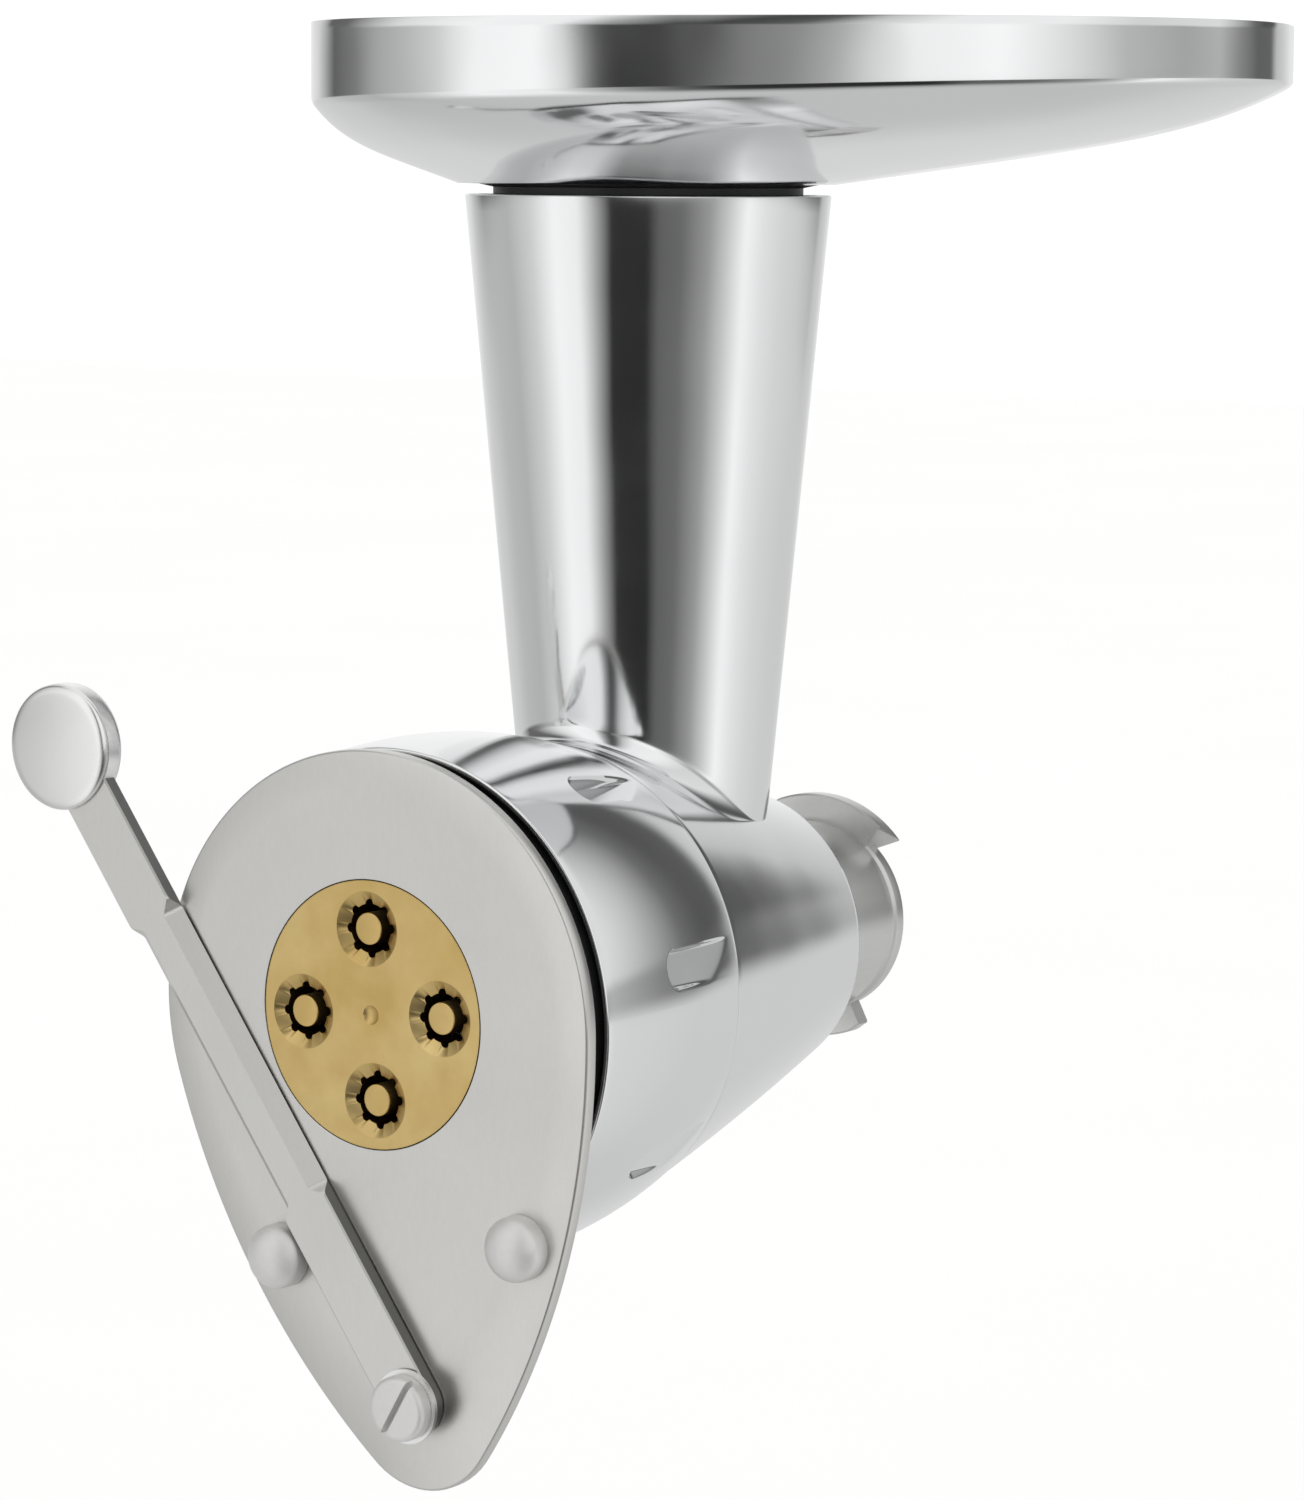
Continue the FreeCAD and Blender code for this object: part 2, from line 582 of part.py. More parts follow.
def make_carrier_screws():
    """Three screws that hold the plate on the carrier from behind."""
    screws = []
    for place in carrier_screw_places():
        shank = Part.makeCylinder(1.5, 5.9, place - Y_AXIS * 1.5, Y_AXIS)
        head = Part.makeCylinder(2.8, 1.8, place + Y_AXIS * 4.4, Y_AXIS)
        screws.append(shank.fuse(head))
    item = shaped("carrier_screws", Part.makeCompound(screws))
    item.Placement = cutter_placement(-number("plate_back_y"))
    return item


def make_stop_rivets():
    """Two domed rivets that stop the lever at each end of its swing."""
    thickness, rim = number("plate_thickness"), number("rivet_rim")
    radius, dome = number("rivet_radius"), number("rivet_dome")
    tail = number("rivet_tail_thickness")
    ball_radius = (radius ** 2 + dome ** 2) / (2 * dome)
    head = Part.makeCylinder(radius, rim, Vector(0, -thickness, 0), -Y_AXIS)
    crown = Part.makeCylinder(radius, dome, Vector(0, -thickness - rim, 0), -Y_AXIS)
    ball = Part.makeSphere(ball_radius, Vector(0, ball_radius - thickness - rim - dome, 0))
    shank = Part.makeCylinder(number("rivet_shank_radius"), thickness, Vector(), -Y_AXIS)
    tail_disc = Part.makeCylinder(number("rivet_tail_radius"), tail, Vector(), Y_AXIS)
    rivet = head.multiFuse([crown.common(ball), shank, tail_disc]).removeSplitter()
    rivets = []
    for side in (-1, 1):
        place = Vector(side * number("rivet_side"), 0, -number("rivet_drop"))
        rivets.append(rivet.translated(place))
    item = shaped("stop_rivets", Part.makeCompound(rivets))
    item.Placement = cutter_placement(-number("plate_back_y"))
    return item


# ---------------------------------------------------------------- pivot
def pivot_point():
    return front_angle(number("cutter_turn")).multVec(Vector(0, 0, -number("pivot_drop")))


def at_pivot(item):
    """Moves a piece drawn about the Y axis to the lever's pivot."""
    place = pivot_point()
    item.Placement = Placement(place, item.Placement.Rotation)
    return item


LEVER_FRONT = "( plate_back_y + plate_thickness + lever_gap + lever_thickness )"


def make_pivot_screw():
    """Slotted screw that the lever turns on."""
    under_head = LEVER_FRONT + " + lever_gap + pivot_washer_thickness"
    top = under_head + " + screw_head_height"
    tail = "plate_back_y - spring_washer_thickness - pivot_nut_thickness - 1"
    blank = turned("screw_blank", [
        ("- ( %s )" % tail, "0"),
        ("- ( %s )" % tail, "screw_radius"),
        ("- ( %s )" % under_head, "screw_radius"),
        ("- ( %s )" % under_head, "screw_head_radius"),
        ("- ( %s - 1 )" % top, "screw_head_radius"),
        ("- ( %s - 0.3 )" % top, "screw_head_radius - 0.3"),
        ("- ( %s )" % top, "screw_head_radius - 1"),
        ("- ( %s )" % top, "0")])
    slot = block("screw_slot", "20", "screw_slot_depth + 1", "screw_slot_width")
    turn = front_angle(number("screw_slot_turn"))
    corner = turn.multVec(Vector(-10, 0, -number("screw_slot_width") / 2))
    slot.Placement = Placement(corner + Vector(0, -number(top) - 1, 0), turn)
    screw = cut("pivot_screw", blank, slot)
    return at_pivot(screw)


def make_pivot_washer():
    """Washer between the screw's head and the lever."""
    front = LEVER_FRONT + " + lever_gap"
    return at_pivot(turned("pivot_washer", [
        ("- ( %s + pivot_washer_thickness )" % front, "screw_radius"),
        ("- ( %s + pivot_washer_thickness )" % front, "pivot_washer_radius"),
        ("- ( %s )" % front, "pivot_washer_radius"),
        ("- ( %s )" % front, "screw_radius")]))


def make_spring_washer():
    """Split washer behind the plate that keeps the pivot tight."""
    washer = turned("washer_ring", [
        ("- plate_back_y", "screw_radius"),
        ("- plate_back_y", "screw_radius + 2"),
        ("- ( plate_back_y - spring_washer_thickness )", "screw_radius + 2"),
        ("- ( plate_back_y - spring_washer_thickness )", "screw_radius")])
    split = block("washer_split", "6", "4", "0.8", y="- ( plate_back_y + 1 )", z="- 0.4")
    return at_pivot(cut("spring_washer", washer, split))


def make_pivot_nut():
    """Hexagonal nut behind the plate."""
    nut = doc.addObject("Part::Prism", "nut_prism")
    nut.Polygon = 6
    bind(nut, "Circumradius", "pivot_nut_flats / 2 / cos ( 30 )")
    bind(nut, "Height", "pivot_nut_thickness")
    set_place(nut, y="- ( plate_back_y - spring_washer_thickness )", turn=ALONG_Y)
    hole = bar("nut_hole", "screw_radius", "pivot_nut_thickness + 2",
               y="- ( plate_back_y - spring_washer_thickness + 1 )")
    return at_pivot(cut("pivot_nut", nut, hole))


# ---------------------------------------------------------------- lever
def lever_placement():
    """The lever's own frame: its pivot at the origin and its knob up +Z."""
    turn = front_angle(number("cutter_turn + lever_angle"))
    back = -number("plate_back_y + plate_thickness + lever_gap")
    return Placement(pivot_point() + Vector(0, back, 0), turn)


def make_cutter_lever():
    """Flat bar with a round end, sharpened on both edges over the die's sweep."""
    width, thickness = number("lever_width"), number("lever_thickness")
    length, bevel = number("lever_length"), number("bevel_width")
    half = width / 2
    bar_end = Part.makeCylinder(half, thickness, Vector(), -Y_AXIS)
    strap = Part.makeBox(width, thickness, length, Vector(-half, -thickness, 0))
    start, end = number("bevel_start"), number("bevel_end")
    wedges = []
    for side in (-1, 1):
        corners = [Vector(side * half, 0, 0), Vector(side * (half - bevel), -thickness, 0),
                   Vector(side * (half + 1), -thickness - 1, 0), Vector(side * (half + 1), 0, 0)]
        wedge = Part.Face(Part.makePolygon(corners + corners[:1]))
        wedges.append(wedge.extrude(Vector(0, 0, end - start)).translated(Vector(0, 0, start)))
    hole = Part.makeCylinder(number("screw_radius + pivot_clearance"), 10, Vector(0, 5, 0), -Y_AXIS)
    rivet_hole = Part.makeCylinder(1.5, 10, Vector(0, 5, length), -Y_AXIS)
    lever = shaped("cutter_lever", bar_end.fuse(strap).cut(wedges + [hole, rivet_hole]))
    lever.Placement = lever_placement()
    return lever


def knob_disc(radius, thickness, edge):
    """Disc about the Y axis with both rims rounded, from y=0 to -thickness."""
    disc = Part.makeCylinder(radius, thickness, Vector(), -Y_AXIS)
    rims = [rim for rim in disc.Edges if rim.Closed]
    return disc.makeFillet(edge, rims)


def make_lever_knob():
    """Round grip slotted over the end of the bar."""
    width, thickness = number("lever_width"), number("lever_thickness")
    depth = number("knob_thickness")
    back = (depth - thickness) / 2
    disc = knob_disc(number("knob_radius"), depth, number("knob_edge"))
    disc.translate(Vector(0, back, number("lever_length")))
    slot = Part.makeBox(width, thickness, 40,
                        Vector(-width / 2, -thickness, number("lever_length") - 40))
    rivet_hole = Part.makeCylinder(1.5, back + thickness + 0.6,
                                   Vector(0, back + 0.2, number("lever_length")), -Y_AXIS)
    knob = shaped("lever_knob", disc.cut([slot, rivet_hole]))
    knob.Placement = lever_placement()
    return knob


def make_knob_rivet():
    """Rivet that holds the knob on the bar, flush at the back."""
    back = (number("knob_thickness") - number("lever_thickness")) / 2
    rivet = Part.makeCylinder(1.5, back + number("lever_thickness") + 0.3,
                              Vector(0, back, number("lever_length")), -Y_AXIS)
    item = shaped("knob_rivet", rivet)
    item.Placement = lever_placement()
    return item


# ---------------------------------------------------------------- tray
def oval(half_length, half_width, middle, near_z, far_z, count=48):
    """Closed superellipse about the feed tube's axis, its long axis along X, tilted evenly
    from near_z at its left end to far_z at its right end."""
    power = 2 / number("pan_roundness")
    points = []
    for index in range(count):
        angle = 2 * math.pi * index / count
        across, along = math.cos(angle), math.sin(angle)
        x = middle + half_length * math.copysign(abs(across) ** power, across)
        y = half_width * math.copysign(abs(along) ** power, along)
        share = (x - middle + half_length) / (2 * half_length)
        points.append(Vector(x, y, near_z + (far_z - near_z) * share))
    curve = Part.BSplineCurve()
    curve.interpolate(Points=points, PeriodicFlag=True)
    return Part.Wire([curve.toShape()])


# share of the way out from the floor to the crease, and share of the way up
FUNNEL_PROFILE = ((0.0, 0.0), (0.2, 0.12), (0.4, 0.27), (0.6, 0.44), (0.8, 0.63), (1.0, 1.0))


def pan_solid(inset, rise):
    """The pan as a filled block: a funnel from the floor up to the crease and an upright wall
    above it. Inset and rise give the inside surface."""
    length, width = number("pan_half_length") - inset, number("pan_half_width") - inset
    middle, floor = number("pan_offset"), number("pan_floor_z") + rise
    near, far = number("pan_crease_near_z") + rise, number("pan_crease_far_z") + rise
    base = number("pan_floor_radius") - inset
    top = number("pan_rim_z") + (1 if inset else 0)
    sections = []
    for share, height in FUNNEL_PROFILE:
        sections.append(oval(
            base + (length - base) * share, base + (width - base) * share, middle * share,
            floor + (near - floor) * height, floor + (far - floor) * height))
    funnel = Part.makeLoft(sections, True, False)
    wall = Part.makeLoft([sections[-1], oval(length, width, middle, top, top)], True, True)
    return funnel.fuse(wall)


def tray_placement():
    return Placement(Vector(0, -number("tube_y"), 0),
                     Rotation(Vector(0, 0, 1), number("pan_turn")))


def make_tray_pan():
    """Oval feed pan with an upright rim and an off-centre hole over the tube."""
    sheet_thickness = number("pan_sheet")
    hole = Part.makeCylinder(number("pan_hole_radius"), 40,
                             Vector(0, 0, number("pan_floor_z") - 10))
    shell = pan_solid(0, 0).cut([pan_solid(sheet_thickness, sheet_thickness), hole])
    pan = shaped("tray_pan", shell)
    pan.Placement = tray_placement()
    return pan


def make_tray_spigot():
    """Sleeve under the pan that drops into the tube's socket, with a groove for its ring."""
    spigot = turned_upright("tray_spigot", [
        ("pan_hole_radius", "tray_spigot_base_z"),
        ("tray_spigot_radius - 0.6", "tray_spigot_base_z"),
        ("tray_spigot_radius", "tray_spigot_base_z + 0.6"),
        ("tray_spigot_radius", "ring_groove_z - 1.1"),
        ("ring_groove_radius", "ring_groove_z - 1.1"),
        ("ring_groove_radius", "ring_groove_z + 1.1"),
        ("tray_spigot_radius", "ring_groove_z + 1.1"),
        ("tray_spigot_radius", "pan_floor_z - tray_collar_rise"),
        ("tray_flange_radius", "pan_floor_z"),
        ("pan_hole_radius", "pan_floor_z")])
    set_place(spigot, y="- tube_y")
    return spigot


def make_spigot_ring():
    """Rubber ring in the spigot's groove; the tray turns in it and lifts out with it."""
    ring = doc.addObject("Part::Torus", "spigot_ring")
    bind(ring, "Radius1", "ring_groove_radius + ring_section / 2 + 0.3")
    bind(ring, "Radius2", "ring_section / 2 + 0.25")
    set_place(ring, y="- tube_y", z="ring_groove_z")
    return ring


NODES = [
    make_hub_collar(), make_rear_bush(), make_shaft_seal(), make_barrel_housing(),
    make_key_pin(), make_feed_tube(), make_drive_shaft(), make_thrust_washer(), make_worm(),
    make_worm_spigot(), make_ring_nut(), make_die_plate(), make_die_mandrels(),
    make_die_bush(), make_cutter_plate(), make_carrier_ring(), make_carrier_screws(),
    make_stop_rivets(), make_pivot_screw(), make_pivot_washer(), make_spring_washer(),
    make_pivot_nut(), make_cutter_lever(), make_lever_knob(), make_knob_rivet(),
    make_tray_pan(), make_tray_spigot(), make_spigot_ring(),
]


def write_parts():
    doc.recompute()
    failed = [item.Name for item in doc.Objects
              if "Invalid" in item.State or "Error" in item.State]
    for node in NODES:
        if node.Shape.isNull() or not node.Shape.isValid() or not node.Shape.Solids:
            failed.append(node.Label)
    if failed:
        raise RuntimeError("these objects failed: " + ", ".join(failed))
    os.makedirs("parts", exist_ok=True)
    for node in NODES:
        node.Shape.exportStep(os.path.join("parts", node.Label + ".step"))
        box = node.Shape.BoundBox
        print("%-16s solids %d volume %9.1f  x %.1f..%.1f y %.1f..%.1f z %.1f..%.1f" % (
            node.Label, len(node.Shape.Solids), node.Shape.Volume,
            box.XMin, box.XMax, box.YMin, box.YMax, box.ZMin, box.ZMax))


write_parts()
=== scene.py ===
"""Looks of the mincer head: polished castings, satin cutter, brass die and oval tray.

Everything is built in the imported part's frame. Sizes are in millimetres until mesh_piece
turns them into metres. The barrel axis is Y with the die facing -Y, and the tube axis is Z.
"""
import bpy
import json
import math
import numpy as np
from mathutils import Matrix, Vector


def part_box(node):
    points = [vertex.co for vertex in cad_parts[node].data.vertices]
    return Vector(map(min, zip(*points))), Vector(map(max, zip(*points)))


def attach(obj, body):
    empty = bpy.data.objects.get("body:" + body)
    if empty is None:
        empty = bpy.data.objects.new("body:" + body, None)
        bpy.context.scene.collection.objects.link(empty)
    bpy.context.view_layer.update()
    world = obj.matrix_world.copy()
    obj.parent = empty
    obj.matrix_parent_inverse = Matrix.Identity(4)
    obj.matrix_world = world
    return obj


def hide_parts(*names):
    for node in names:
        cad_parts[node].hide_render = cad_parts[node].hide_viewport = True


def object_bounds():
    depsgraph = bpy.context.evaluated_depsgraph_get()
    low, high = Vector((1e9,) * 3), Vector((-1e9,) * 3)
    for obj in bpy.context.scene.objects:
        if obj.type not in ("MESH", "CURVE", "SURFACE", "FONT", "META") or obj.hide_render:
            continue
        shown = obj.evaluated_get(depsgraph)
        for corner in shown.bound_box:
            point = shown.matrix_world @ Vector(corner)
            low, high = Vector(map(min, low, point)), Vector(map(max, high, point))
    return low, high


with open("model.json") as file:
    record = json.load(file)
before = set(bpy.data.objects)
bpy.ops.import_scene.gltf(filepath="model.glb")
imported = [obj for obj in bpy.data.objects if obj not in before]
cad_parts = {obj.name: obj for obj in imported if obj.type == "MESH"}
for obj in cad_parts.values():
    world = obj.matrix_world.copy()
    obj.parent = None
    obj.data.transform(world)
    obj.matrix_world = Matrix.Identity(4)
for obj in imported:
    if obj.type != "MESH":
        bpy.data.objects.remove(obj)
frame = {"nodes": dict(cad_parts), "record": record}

MM = 0.001
cad_low, cad_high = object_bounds()


# ------------------------------------------------------------------ places from the frame
def box_mm(node):
    """Opposite corners of a CAD node's box, in millimetres."""
    low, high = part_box(node)
    return np.array(low) / MM, np.array(high) / MM


HUB_LOW = box_mm("hub_collar")[0]
HOUSING_LOW, HOUSING_HIGH = box_mm("barrel_housing")
TUBE_HIGH = box_mm("feed_tube")[1]
NUT_LOW, NUT_HIGH = box_mm("ring_nut")
PLATE_LOW, PLATE_HIGH = box_mm("cutter_plate")
SPIGOT_LOW, SPIGOT_HIGH = box_mm("tray_spigot")
PAN_HIGH = box_mm("tray_pan")[1]
LEVER_LOW, LEVER_HIGH = box_mm("cutter_lever")
KNOB_LOW, KNOB_HIGH = box_mm("lever_knob")
SCREW_LOW, SCREW_HIGH = box_mm("pivot_screw")
RIVETS_LOW = box_mm("stop_rivets")[0]

TUBE_Y = (SPIGOT_LOW[1] + SPIGOT_HIGH[1]) / 2
TUBE_TOP = TUBE_HIGH[2]
PLATE_FRONT, PLATE_BACK = PLATE_LOW[1], PLATE_HIGH[1]
REAR_Y = HOUSING_HIGH[1]
SEAM_Y = NUT_HIGH[1]
RIM_Y = NUT_LOW[1]
PIVOT = np.array([(SCREW_LOW[0] + SCREW_HIGH[0]) / 2, 0, (SCREW_LOW[2] + SCREW_HIGH[2]) / 2])
KNOB = np.array([(KNOB_LOW[0] + KNOB_HIGH[0]) / 2, 0, (KNOB_LOW[2] + KNOB_HIGH[2]) / 2])
CUTTER_TURN = math.atan2(PIVOT[0], -PIVOT[2])
PIVOT_DROP = math.hypot(PIVOT[0], PIVOT[2])
LEVER_TURN = math.atan2(PIVOT[0] - KNOB[0], KNOB[2] - PIVOT[2])
LEVER_LENGTH = math.hypot(PIVOT[0] - KNOB[0], KNOB[2] - PIVOT[2])

SEAM_RADIUS = 39.2
REAR_RADIUS = 24.5
NECK_RADIUS = 36.4
CHAMBER = ((-78, 30.0), (-58, 25.5), (-38, 21.0))
THROAT_RADIUS = 17.3
SOCKET_DEPTH, SOCKET_RADIUS, SOCKET_FOOT_RADIUS = 22, 26.6, 24.6
TUBE_TOP_RADIUS = 31.0
TUBE_TAPER = 0.095


# ------------------------------------------------------------------ mesh helpers
def mesh_piece(name, points, faces, body, slot, replaces=(), sharp=35, finish=None):
    """A piece from points in millimetres, smooth except at edges sharper than an angle."""
    mesh = bpy.data.meshes.new(name)
    mesh.from_pydata((np.asarray(points) * MM).tolist(), [], faces)
    mesh.validate()
    mesh.shade_smooth()
    mesh.set_sharp_from_angle(angle=math.radians(sharp))
    piece = bpy.data.objects.new(name, mesh)
    bpy.context.scene.collection.objects.link(piece)
    piece.data.materials.append(MATERIALS[finish or slot])
    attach(piece, body)
    if replaces:
        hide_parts(*replaces)
    return piece


def grid_faces(rows, columns, close_rows=False, close_columns=True, start=0):
    """Quads over a grid of points whose columns go round."""
    faces = []
    for row in range(rows if close_rows else rows - 1):
        below, above = row * columns, ((row + 1) % rows) * columns
        for column in range(columns if close_columns else columns - 1):
            after = (column + 1) % columns
            faces.append((start + below + column, start + below + after,
                          start + above + after, start + above + column))
    return faces


def rounded(corners, steps=5):
    """A closed outline from (along, across) or (along, across, radius) corners."""
    path = []
    count = len(corners)
    for index, corner in enumerate(corners):
        here = np.array(corner[:2], float)
        radius = corner[2] if len(corner) > 2 else 0
        if radius <= 0:
            path.append(here)
            continue
        before = np.array(corners[index - 1][:2], float) - here
        after = np.array(corners[(index + 1) % count][:2], float) - here
        room = min(np.linalg.norm(before), np.linalg.norm(after)) * 0.48
        before, after = before / np.linalg.norm(before), after / np.linalg.norm(after)
        half = math.acos(np.clip(before @ after, -1, 1)) / 2
        reach = min(radius / math.tan(half), room)
        start, end = here + before * reach, here + after * reach
        for step in range(steps + 1):
            share = step / steps
            path.append((1 - share) ** 2 * start + 2 * share * (1 - share) * here
                        + share ** 2 * end)
    return np.array(path)


def around(outline, axis, place=(0, 0, 0), segments=192):
    """Points of a lathe piece: outline rows are (along the axis, radius)."""
    angles = np.linspace(0, 2 * math.pi, segments, endpoint=False)
    along, radius = outline[:, 0][:, None], outline[:, 1][:, None]
    first, second = radius * np.cos(angles), radius * np.sin(angles)
    level = along + 0 * angles
    order = (first, level, second) if axis == "Y" else (first, second, level)
    return np.stack(order, axis=-1).reshape(-1, 3) + np.array(place)


def lathe(name, corners, axis, body, slot, replaces=(), place=(0, 0, 0), segments=192,
          sharp=35, finish=None):
    """A piece turned from an outline of (along the axis, radius) corners."""
    outline = rounded(corners)
    points = around(outline, axis, place, segments)
    faces = grid_faces(len(outline), segments, close_rows=True)
    return mesh_piece(name, points, faces, body, slot, replaces, sharp, finish)


def smoothstep(low, high, value):
    """Eases from 0 at low to 1 at high."""
    share = np.clip((value - low) / (high - low), 0, 1)
    return share * share * (3 - 2 * share)


def turned_front(points, angle, place):
    """Turns points about the barrel's direction, counter-clockwise as seen from the front."""
    cos, sin = math.cos(angle), math.sin(angle)
    points = np.asarray(points, float)
    x = points[:, 0] * cos - points[:, 2] * sin
    z = points[:, 0] * sin + points[:, 2] * cos
    return np.stack([x, points[:, 1], z], axis=1) + np.array(place)


# ------------------------------------------------------------------ materials
def new_material(name, color, metallic, roughness, specular=0.5):
    """A Principled material with its plain values set; returns it, its tree and its shader."""
    material = bpy.data.materials.new(name)
    material.use_nodes = True
    shader = material.node_tree.nodes["Principled BSDF"]
    shader.inputs["Base Color"].default_value = (*color, 1)
    shader.inputs["Metallic"].default_value = metallic
    shader.inputs["Roughness"].default_value = roughness
    shader.inputs["Specular IOR Level"].default_value = specular
    return material, material.node_tree, shader


def noise(tree, scale, detail=4.0, stretch=(1, 1, 1), rough=0.55):
    """Noise over the object's own coordinates, in metres."""
    place = tree.nodes.new("ShaderNodeTexCoord")
    mapping = tree.nodes.new("ShaderNodeMapping")
    mapping.inputs["Scale"].default_value = stretch
    texture = tree.nodes.new("ShaderNodeTexNoise")
    texture.inputs["Scale"].default_value = scale
    texture.inputs["Detail"].default_value = detail
    texture.inputs["Roughness"].default_value = rough
    tree.links.new(place.outputs["Object"], mapping.inputs["Vector"])
    tree.links.new(mapping.outputs["Vector"], texture.inputs["Vector"])
    return texture.outputs["Fac"]


def spread(tree, value, low, high, start=0.3, end=0.7):
    """Maps a value's middle range to low..high."""
    node = tree.nodes.new("ShaderNodeMapRange")
    node.inputs["From Min"].default_value = start
    node.inputs["From Max"].default_value = end
    node.inputs["To Min"].default_value = low
    node.inputs["To Max"].default_value = high
    tree.links.new(value, node.inputs["Value"])
    return node.outputs["Result"]


def shades(tree, value, dark, light):
    """Maps a value's middle range to a run of colours from dark to light."""
    node = tree.nodes.new("ShaderNodeValToRGB")
    node.color_ramp.elements[0].position = 0.3
    node.color_ramp.elements[0].color = (*dark, 1)
    node.color_ramp.elements[1].position = 0.7
    node.color_ramp.elements[1].color = (*light, 1)
    tree.links.new(value, node.inputs["Fac"])
    return node.outputs["Color"]


def bump(tree, shader, layers):
    """Adds bump layers, each (height value, distance in metres, strength)."""
    normal = None
    for value, distance, strength in layers:
        node = tree.nodes.new("ShaderNodeBump")
        node.inputs["Distance"].default_value = distance
        node.inputs["Strength"].default_value = strength
        tree.links.new(value, node.inputs["Height"])
        if normal is not None:
            tree.links.new(normal, node.inputs["Normal"])
        normal = node.outputs["Normal"]
    tree.links.new(normal, shader.inputs["Normal"])


def polished(name, color, roughness, wave, wave_scale, stretch=(1, 1, 1)):
    """Polished metal: soft haze in patches, faint polishing lines and a slow ripple."""
    material, tree, shader = new_material(name, color, 1.0, roughness)
    haze = noise(tree, 38, 5)
    tree.links.new(spread(tree, haze, roughness * 0.75, roughness * 1.35),
                   shader.inputs["Roughness"])
    dark = tuple(part * 0.965 for part in color)
    tree.links.new(shades(tree, noise(tree, 14, 3), dark, color), shader.inputs["Base Color"])
    lines = noise(tree, 900, 2, stretch)
    bump(tree, shader, [(noise(tree, wave_scale, 2), wave, 1.0), (lines, 0.0000025, 0.35)])
    return material


def satin(name, color, roughness, grain, stretch, metallic=1.0):
    """Brushed metal: fine grain one way, with cloudy wear in its roughness and shade."""
    material, tree, shader = new_material(name, color, metallic, roughness)
    fine = noise(tree, grain, 3, stretch, 0.7)
    tree.links.new(spread(tree, noise(tree, 30, 5), roughness * 0.85, roughness * 1.2),
                   shader.inputs["Roughness"])
    dark = tuple(part * 0.965 for part in color)
    tree.links.new(shades(tree, fine, dark, color), shader.inputs["Base Color"])
    bump(tree, shader, [(fine, 0.000006, 0.4)])
    return material


def brass(name, color, roughness):
    """Turned brass: warm clouds, a dull film in patches and hair-fine tool marks."""
    material, tree, shader = new_material(name, color, 1.0, roughness)
    dull = tuple(part * shade for part, shade in zip(color, (0.86, 0.80, 0.66)))
    tree.links.new(shades(tree, noise(tree, 95, 6), dull, color), shader.inputs["Base Color"])
    tree.links.new(spread(tree, noise(tree, 160, 5), roughness * 0.8, roughness * 1.3),
                   shader.inputs["Roughness"])
    marks = noise(tree, 1400, 2, (0.25, 1, 1), 0.6)
    bump(tree, shader, [(marks, 0.00001, 0.45), (noise(tree, 220, 4), 0.00003, 0.3)])
    return material


def plastic(name, color, roughness, grain=1600):
    """Moulded plastic or rubber: a fine grain and slightly uneven gloss."""
    material, tree, shader = new_material(name, color, 0.0, roughness, 0.4)
    tree.links.new(spread(tree, noise(tree, 60, 4), roughness * 0.85, roughness * 1.15),
                   shader.inputs["Roughness"])
    lighter = tuple(min(1, part * 1.25 + 0.004) for part in color)
    tree.links.new(shades(tree, noise(tree, 240, 5), color, lighter),
                   shader.inputs["Base Color"])
    bump(tree, shader, [(noise(tree, grain, 3), 0.00002, 0.4)])
    return material


MATERIALS = {
    "polished_casting": polished("polished_casting", (0.86, 0.865, 0.87), 0.10, 0.0006, 16),
    "polished_sheet": polished("polished_sheet", (0.85, 0.855, 0.86), 0.085, 0.0009, 20),
    "satin_aluminium": satin("satin_aluminium", (0.70, 0.70, 0.69), 0.30, 700, (1, 0.15, 1)),
    "satin_steel": satin("satin_steel", (0.72, 0.715, 0.69), 0.36, 1800, (1, 1, 0.3)),
    # Dark steel for the lever's side faces and ends: painted shade where those narrow faces fall in
    # shadow.
    "painted_shade_steel": satin("painted_shade_steel", (0.26, 0.26, 0.25), 0.5, 1800, (1, 0.3, 1)),
    "rivet_steel": satin("rivet_steel", (0.72, 0.715, 0.70), 0.5, 900, (1, 1, 1), 0.6),
    "bright_steel": polished("bright_steel", (0.90, 0.90, 0.89), 0.24, 0.0001, 60),
    "die_brass": brass("die_brass", (0.74, 0.56, 0.25), 0.36),
    # Very dark brass for the insides of the die's holes: painted shade, as those bores get no
    # light.
    "painted_shade_brass": brass("painted_shade_brass", (0.09, 0.054, 0.024), 0.5),
    "bronze": brass("bronze", (0.62, 0.43, 0.24), 0.40),
    "black_plastic": plastic("black_plastic", (0.012, 0.012, 0.013), 0.42),
    "dark_plastic": plastic("dark_plastic", (0.035, 0.035, 0.038), 0.45),
    "cream_plastic": plastic("cream_plastic", (0.74, 0.71, 0.64), 0.38),
    "rubber": plastic("rubber", (0.02, 0.02, 0.02), 0.6, 2200),
}


def dress_cad_nodes():
    """Every carried-over CAD node gets its slot's material and smooth shading."""
    slots = {part["node"]: part["material_slot"] for part in frame["record"]["subparts"]}
    for name, node in frame["nodes"].items():
        node.data.materials.clear()
        node.data.materials.append(MATERIALS[slots[name]])
        node.data.shade_smooth()
        node.data.set_sharp_from_angle(angle=math.radians(32))


# ------------------------------------------------------------------ barrel and tube
def barrel_radius(y):
    """Outer radius of the housing's cone."""
    share = (y - SEAM_Y) / (REAR_Y - SEAM_Y)
    bulge = 4 * 0.45 * share * (1 - share)
    return SEAM_RADIUS + (REAR_RADIUS - SEAM_RADIUS) * share + bulge


def tube_radius(z):
    """Outer radius of the feed tube."""
    return TUBE_TOP_RADIUS - TUBE_TAPER * (TUBE_TOP - z)


def foot_height(angle, radius):
    """Height at which an upright line on the tube meets the barrel."""
    x, y = radius * np.cos(angle), TUBE_Y + radius * np.sin(angle)
    return np.sqrt(barrel_radius(y) ** 2 - x ** 2)


